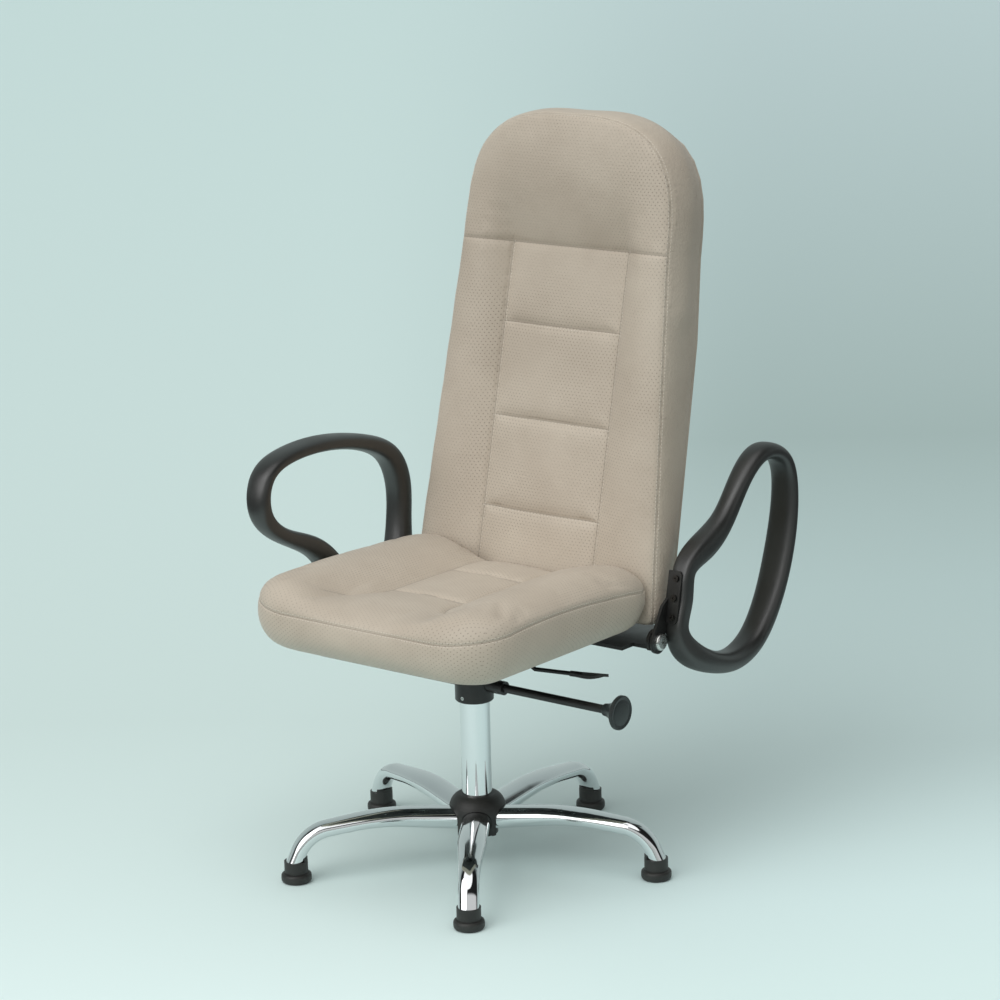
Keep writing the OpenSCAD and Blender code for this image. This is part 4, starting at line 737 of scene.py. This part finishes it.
def stitch_tree():
    tree = bpy.data.node_groups.new("stitches", "GeometryNodeTree")
    for name, way, kind in [("Points", "INPUT", "Geometry"), ("Stitches", "OUTPUT", "Geometry"),
                            ("Length", "INPUT", "Float"), ("Thickness", "INPUT", "Float"),
                            ("Thread", "INPUT", "Material")]:
        tree.interface.new_socket(name, in_out=way, socket_type="NodeSocket" + kind)
    given = add_node(tree, "NodeGroupInput")
    along = add_node(tree, "GeometryNodeInputNamedAttribute", {"Name": "along"}, data_type="FLOAT_VECTOR")
    out = add_node(tree, "GeometryNodeInputNamedAttribute", {"Name": "out"}, data_type="FLOAT_VECTOR")
    lie = add_node(tree, "FunctionNodeAlignRotationToVector", {
        "Vector": along.outputs["Attribute"]}, axis="X")
    face = add_node(tree, "FunctionNodeAlignRotationToVector", {
        "Rotation": lie.outputs[0], "Vector": out.outputs["Attribute"]}, axis="Z", pivot_axis="X")
    bead = add_node(tree, "GeometryNodeMeshUVSphere", {"Segments": 6, "Rings": 5, "Radius": 0.5})
    size = add_node(tree, "CombineXYZ", {
        "X": given.outputs["Length"], "Y": given.outputs["Thickness"], "Z": given.outputs["Thickness"]})
    put = add_node(tree, "GeometryNodeInstanceOnPoints", {
        "Points": given.outputs["Points"], "Instance": bead.outputs["Mesh"],
        "Rotation": face.outputs[0], "Scale": size.outputs[0]})
    real = add_node(tree, "GeometryNodeRealizeInstances", {0: put.outputs[0]})
    smooth = add_node(tree, "GeometryNodeSetShadeSmooth", {0: real.outputs[0]})
    painted = add_node(tree, "GeometryNodeSetMaterial", {
        0: smooth.outputs[0], "Material": given.outputs["Thread"]})
    add_node(tree, "NodeGroupOutput", {0: painted.outputs[0]})
    return tree


cover_cloth = leatherette("perforated_leatherette", True)
plain_cloth = leatherette("plain_leatherette", False)
# Bonded polyester, three strands twisted: pale, with a faint gloss
thread = mottled(
    "spun_thread", {"Scale": 900, "Detail": 1}, [(0, "#c9c0b0"), (1, "#ece7dc")], Roughness=0.5,
    Sheen_Weight=0.2)

seat_half, seat_front, seat_rear, seat_seam, seam_arch = 0.2535, -0.292, 0.1402, 0.470, 0.017
corner_across, corner_along, rear_corner = 0.105, 0.084, 0.012
seat_panel, seat_panel_mouth, seat_panel_front = 0.076, 0.128, -0.218
seat_channel_places = (-0.108, 0.042)
seat_top, seat_board_top = 0.484, 0.3945


def seat_edge(y):
    """Half width of the seat at its seam."""
    front = np.clip((y - seat_front) / corner_along, 0, 1)
    rear = np.clip((seat_rear - y) / rear_corner, 0, 1)
    return (seat_half - corner_across * (1 - np.sqrt(1 - (1 - front) ** 2))
            - rear_corner * (1 - np.sqrt(1 - (1 - rear) ** 2)))


def seat_rim(y):
    """Height of the seat's seam at y."""
    way = max(0, (y - seat_front) / (seat_rear - seat_front))
    return seat_seam + seam_arch * math.sin(math.pi * way ** 0.8)


def seat_panel_edge(y):
    """Half width of the seat's centre panel at y."""
    open_mouth = np.clip(1 - (y - seat_panel_front) / (seat_channel_places[0] - seat_panel_front), 0, 1)
    return seat_panel + (seat_panel_mouth - seat_panel) * open_mouth ** 2.5


runs = seat_front + (seat_rear - seat_front) * (1 - np.cos(np.linspace(0, math.pi, 60))) / 2
rim = [(seat_edge(y), y, seat_rim(y)) for y in runs]
rim = [(-x, y, z) for x, y, z in rim[::-1]] + rim
seat_panel_seams = [[(side * seat_panel_edge(y), y, seat_top) for y in np.linspace(-0.215, 0.135, 40)]
                    for side in (-1, 1)]
seat_channels = [[(x, y, seat_top) for x in np.linspace(-seat_panel, seat_panel, 20)]
                 for y in seat_channel_places]


def seat_softness(points):
    """The sides are rounded off, clear of the underside, the rear and the top's panels."""
    inside = outline_depth([p[:2] for p in rim], points)
    return (ease(0.398, 0.42, points[:, 2]) * ease(0.14, 0.125, points[:, 1])
            * (1 - ease(0.02, 0.05, inside)))


seat = swell("seat_cover", "seat_cushion", 0.006, 0.008, [rim] + seat_panel_seams + seat_channels,
             lambda p: (p[:, 2] < seat_board_top) * 1.0, seat_softness)
# The boxing is pulled square at the rear corners and leans back against the backrest
at = points_of(seat.data)
square = np.array([seat_edge(y) for y in at[:, 1]])
corner = 1 - np.clip((seat_rear - at[:, 1]) / 0.024, 0, 1)
rounder = square - 0.0035 - rear_corner * (1 - np.sqrt(1 - corner ** 2))
at[:, 0] *= square / rounder
at[:, 1] += 0.15 * np.maximum(0, at[:, 2] - 0.42) * ease(0.09, 0.14, at[:, 1])
# The foam's underside turns up round the board
inside = outline_depth([p[:2] for p in rim], at)
turned_up = (1 - ease(0.01, 0.07, inside)) * (1 - ease(0.392, 0.462, at[:, 2]))
at[:, 2] += 0.012 * turned_up
put_points(seat.data, at)
crease(seat, [rim], 0.0014, 0.0035)
crease(seat, seat_panel_seams, 0.0025, 0.006)
at = points_of(seat.data)
rim_side = (at[:, 2] - np.array([seat_rim(y) for y in at[:, 1]])
            + np.minimum(outline_depth([p[:2] for p in rim], at), 0.03))
below = 0.44 - at[:, 2]
aside = np.abs(at[:, 0]) - seat_panel_edge(at[:, 1])
panel_side = seam_side(aside, np.maximum(seat_panel_front - at[:, 1], below))
off_panel = np.maximum(aside, below)
cross_side = nearest_seam([seam_side(at[:, 1] - seat_channel_places[0], off_panel),
                           -seam_side(at[:, 1] - seat_channel_places[1], off_panel)])
mark_seams(seat, rim_side, panel_side, cross_side)
lay_cover(seat, True)
seat.data.materials.clear()
seat.data.materials.append(cover_cloth)
seat.data.shade_smooth()
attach(seat, "seat")
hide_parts("seat_cushion")
sew("seat_stitches", stitch_row(seat, rim, 0.003) + stitch_row(seat, rim, -0.003),
    "seat", 0.004, 0.0009, thread)


# ------------------------------------------------ backrest
# The same cover over a deeper foam, glued to a bent board: bolsters either side of a
# panel with three sewn channels, a headrest seam and a boxing over the top.

back_lean, back_y, back_z = math.radians(10.8), 0.150, 0.408
back_length, head_seam, back_half, head_half, panel_half = 0.818, 0.598, 0.256, 0.216, 0.120
head_forward = 0.018


def on_back(x, depth, s):
    """A point at x, at a depth behind the front face and s along the back."""
    return (x, back_y + depth * math.cos(back_lean) + s * math.sin(back_lean),
            back_z - depth * math.sin(back_lean) + s * math.cos(back_lean))


def back_edge(s):
    if s < head_seam:
        return back_half + (head_half - back_half) * s / head_seam
    return head_half * (1 - ((s - head_seam) / (back_length - head_seam)) ** 3.2) ** (1 / 3)


along = np.concatenate([np.linspace(0.004, 0.6, 60),
                        0.6 + 0.2179 * np.sin(np.linspace(0.02, 1.5707, 60))])
past = np.maximum(0, along - head_seam) / (back_length - head_seam)
edge = [on_back(back_edge(s), -head_forward * p ** 2, s) for s, p in zip(along, past)]
edge = [(-x, y, z) for x, y, z in edge] + edge[::-1]
drop = lambda s: 0.002 + 0.020 * s / head_seam
back_panel_seams = [[on_back(side * panel_half, drop(s), s) for s in np.linspace(0.01, head_seam, 40)]
                    for side in (-1, 1)]
back_channel_places = (0.152, 0.306, 0.464)
back_channels = [[on_back(x, drop(s) + 0.006, s) for x in np.linspace(-panel_half, panel_half, 20)]
                 for s in back_channel_places]
head_line = [[on_back(x, -0.008 + 0.028 * (1 - ease(0.11, 0.17, abs(x))), head_seam)
              for x in np.linspace(-0.215, 0.215, 40)]]
lean = np.array([0, math.cos(back_lean), -math.sin(back_lean)])


def back_places(points):
    """How far behind the front plane and how far up the back each point is."""
    local = points - np.array([0, back_y, back_z])
    return local @ lean, local @ np.array([0, math.sin(back_lean), math.cos(back_lean)])


def back_softness(points):
    """The front and most of the boxing are rounded off, not the seam or the board's edge."""
    depth, up = back_places(points)
    board = np.interp(up, [0, 0.25, 0.45, 0.65, 0.82], [0.055, 0.077, 0.093, 0.093, 0.087])
    from_seam = np.where(depth < 0.03, distance_to([edge], points), 0)
    return ((1 - ease(0.02, 0.06, from_seam)) * ease(0.42, 0.46, points[:, 2])
            * (1 - ease(-0.035, -0.015, depth - board)))


back = swell("back_cover", "back_cushion", 0.006, 0.008,
             [edge] + back_panel_seams + back_channels + head_line,
             lambda p: (back_places(p)[0] > 0.04) * 0.8, back_softness)
# The boxing is one strip pulled round the foam: how far it stands out changes slowly along
# the outline, whatever the facets of the solid
half = [(back_edge(s), s) for s in along]
outline = [(x, s) for x, s in half] + [(-x, s) for x, s in half[::-1]]
at = points_of(back.data)
depth, up = back_places(at)
inside = outline_depth(outline, np.stack([at[:, 0], up], 1))
course = resample([(x, s, 0) for x, s in outline], 0.002)
along_course = tree_of([course])
place = np.array([along_course.find((x, s, 0))[1] for x, s in zip(at[:, 0], up)])
outward = np.gradient(course, axis=0)[:, 1::-1] * (1, -1)
outward /= np.linalg.norm(outward, axis=1, keepdims=True)
rearward = points_of(back.data, "normal") @ lean
layers, layer_deep = 40, 0.003
layer = np.clip(depth / layer_deep, 0, layers - 1)
strip = (depth > 0) & (inside < 0.025) & (up > 0.03) & (np.abs(rearward) < 0.8)
total, count = np.zeros((2, len(course), layers + 1))
cell = place[strip], np.round(layer[strip]).astype(int)
np.add.at(total, cell, -inside[strip])
np.add.at(count, cell, 1)
# A bell that takes in about 60 mm of the outline
spread = np.exp(-(np.arange(-50, 51) / 16) ** 2 / 2)
for grid in (total, count):
    for k in range(layers + 1):
        grid[:, k] = np.convolve(grid[:, k], spread, "same")
even = total / np.maximum(count, 1e-9)
under = layer.astype(int)
wanted = even[place, under] + (layer - under) * (even[place, under + 1] - even[place, under])
known = (count[place, under] > 0.5) & (count[place, under + 1] > 0.5) & strip
shift = ((wanted + inside) * known * ease(0.004, 0.012, depth) * ease(0.08, 0.14, up)
         * (1 - ease(0.015, 0.025, inside)) * (1 - ease(0.5, 0.8, np.abs(rearward))))
plane = np.array([[1, 0, 0], [0, math.sin(back_lean), math.cos(back_lean)]])
at += (outward[place] * shift[:, None]) @ plane
put_points(back.data, at)
# The foam stands proud between the seam and the board, most of all round the head
crown = [on_back(back_edge(s), 0.045, s) for s in along if s > 0.5]
crease(back, [[(-x, y, z) for x, y, z in crown] + crown[::-1]], -0.0045, 0.024)
crease(back, [edge], 0.0012, 0.0035)
crease(back, back_panel_seams + back_channels + head_line, 0.0018, 0.005)
at = points_of(back.data)
depth, up = back_places(at)
past = np.maximum(0, up - head_seam) / (back_length - head_seam)
rim_side = outline_depth(outline, np.stack([at[:, 0], up], 1)) - (depth + head_forward * past ** 2)
behind = np.maximum(depth - 0.05, -rim_side)
across = np.abs(at[:, 0]) - panel_half
panel_side = seam_side(across, np.maximum(up - head_seam, behind))
beyond = np.maximum(across, behind)
cross_side = nearest_seam([(-1) ** k * seam_side(up - s, beyond if s < head_seam else behind)
                           for k, s in enumerate(back_channel_places + (head_seam,))])
mark_seams(back, rim_side, panel_side, cross_side)
lay_cover(back, False)
back.data.materials.clear()
back.data.materials.append(cover_cloth)
back.data.materials.append(plain_cloth)
boxing = [int(sum(rim_side[v] for v in face.vertices) < 0) for face in back.data.polygons]
back.data.polygons.foreach_set("material_index", boxing)
back.data.shade_smooth()
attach(back, "seat")
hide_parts("back_cushion")
sew("back_stitches", stitch_row(back, edge, 0.003) + stitch_row(back, edge, -0.003)
    + [r for line in back_panel_seams for r in stitch_row(back, line, 0.003)]
    + [r for line in back_channels for r in stitch_row(back, line, 0.003)],
    "seat", 0.004, 0.0009, thread)
finish_node("rear_panel", plain_cloth)


# ------------------------------------------------ floor and light
# Seamless pale blue-green paper under and far behind the chair, lit by two wide soft lamps, with painted
# light and shade in its colour.
# The studio's floor past the paper and its ceiling are dark, which streaks the chrome.

def background_paper():
    """Matt paper with painted light: palest in front and on the left, with painted shade falling off
    behind the chair's right.
    """
    material, tree, shader, place = new_material("background_paper", Roughness=0.95)
    behind = add_node(tree, "VectorMath", {0: place, 1: -ahead}, operation="DOT_PRODUCT")
    beside = add_node(tree, "VectorMath", {0: place, 1: level}, operation="DOT_PRODUCT")
    # Painted light: the paper is lit from the front, so its painted tone goes with the slope the eye sees
    # it at
    eye_distance, eye_height, paper_spread = 4.92, 1.82, 0.21
    far = add_node(tree, "Math", {0: behind.outputs["Value"], 1: eye_distance}, operation="ADD")
    slope = add_node(tree, "Math", {0: eye_height, 1: far.outputs[0]}, operation="DIVIDE")
    spread = add_node(tree, "Math", {0: beside.outputs["Value"], 1: far.outputs[0]}, operation="DIVIDE")
    rise = add_node(tree, "MapRange", {"Value": slope.outputs[0], "From Min": 0.08, "From Max": 0.42})
    # Two ramps of painted light and shade: the right one's dark middle is painted shade, and its stops
    # from 0.58 to 0.74 are painted light that thins the chair's cast shadow
    painted_light_tones = []
    for stops in ([(0, "#c3d9d7"), (0.7, "#c9dbd8"), (1, "#e0f2f0")],
                  [(0, "#b7cbcc"), (0.43, "#9eb1af"), (0.58, "#b0c4c3"), (0.74, "#bccfce"),
                   (0.9, "#d3e7e6"), (1, "#d8ecea")]):
        tone = add_node(tree, "ValToRGB", {"Fac": rise.outputs[0]}, stops=stops)
        painted_light_tones.append(tone.outputs["Color"])
    # The darker right-hand ramp takes over past the chair's right: painted shade
    right = add_node(tree, "MapRange", {
        "Value": spread.outputs[0], "From Min": -0.05, "From Max": 0.1},
        interpolation_type="SMOOTHSTEP")
    paper = add_node(tree, "Mix", {
        "Factor": right.outputs[0], 6: painted_light_tones[0], 7: painted_light_tones[1]}, data_type="RGBA")
    # Past the paper's edges is the studio's dark floor, which only the chrome gets to see
    edge = add_node(tree, "Math", {0: beside.outputs["Value"]}, operation="ABSOLUTE")
    over = add_node(tree, "Math", {
        0: far.outputs[0], 1: -paper_spread, 2: edge.outputs[0]}, operation="MULTIPLY_ADD")
    bare = add_node(tree, "MapRange", {"Value": over.outputs[0], "From Min": 0.25, "From Max": 0.5})
    front = add_node(tree, "MapRange", {"Value": far.outputs[0], "From Min": 3.6, "From Max": 3.4})
    most = add_node(tree, "Math", {0: bare.outputs[0], 1: front.outputs[0]}, operation="MAXIMUM")
    looked_at = add_node(tree, "LightPath").outputs["Is Camera Ray"]
    mirrored = add_node(tree, "Math", {
        0: most.outputs[0], 1: looked_at}, operation="SUBTRACT", use_clamp=True)
    all_of = add_node(tree, "Mix", {
        "Factor": mirrored.outputs[0], 6: paper.outputs[2], 7: linear("#55585a")}, data_type="RGBA")
    feed(tree, shader, {"Base Color": all_of.outputs[2]})
    return material


ahead = Vector((math.sin(turn), -math.cos(turn), 0))
floor_mesh = bpy.data.meshes.new("floor")
floor_mesh.from_pydata([(-60, -60, 0), (60, -60, 0), (60, 60, 0), (-60, 60, 0)], [], [(0, 1, 2, 3)])
floor_mesh.materials.append(background_paper())
floor = bpy.data.objects.new("floor", floor_mesh)
scene.collection.objects.link(floor)
floor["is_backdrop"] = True

# Two suns, each as wide as a big soft lamp, keep the paper evenly lit: one from the front
# left and one from overhead
for name, toward, energy in [("wide_lamp", 0.62 * ahead - 0.72 * level + Vector((0, 0, 0.68)), 1.3),
                             ("top_lamp", 0.3 * ahead - 0.1 * level + Vector((0, 0, 1)), 0.84)]:
    lamp = bpy.data.objects.new(name, bpy.data.lights.new(name, "SUN"))
    lamp.data.energy, lamp.data.angle = energy, math.radians(55)
    lamp.rotation_euler = (-toward).to_track_quat("-Z", "Y").to_euler()
    scene.collection.objects.link(lamp)

# The room: an even pale light for matt things. Polished things mirror a bright room behind
# the camera, a dark ceiling and the paper where it climbs behind the chair
world = bpy.data.worlds.new("room")
scene.world = world
world.use_nodes = True
tree = world.node_tree
way = add_node(tree, "TexCoord").outputs["Generated"]
toward = add_node(tree, "VectorMath", {0: way, 1: ahead}, operation="DOT_PRODUCT")
up = add_node(tree, "SeparateXYZ", {0: way})
over = add_node(tree, "Math", {0: up.outputs["Z"], 1: toward.outputs["Value"]}, operation="ARCTAN2")
turned = add_node(tree, "Math", {0: over.outputs[0], 1: math.pi}, operation="DIVIDE")
room = add_node(tree, "ValToRGB", {"Fac": turned.outputs[0]}, stops=[
    (0, "#cdd3cf"), (0.17, "#ffffff"), (0.21, "#2a2b2b"), (0.57, "#1f2020"), (0.67, "#c0cecd"),
    (1, "#dcebe9")])
kind = add_node(tree, "LightPath")
seen = add_node(tree, "Mix", {
    "Factor": kind.outputs["Is Glossy Ray"], 6: linear("#dfe3e2"), 7: room.outputs["Color"]},
    data_type="RGBA")
feed(tree, tree.nodes["Background"], {"Color": seen.outputs[2], "Strength": 0.7})


low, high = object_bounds()
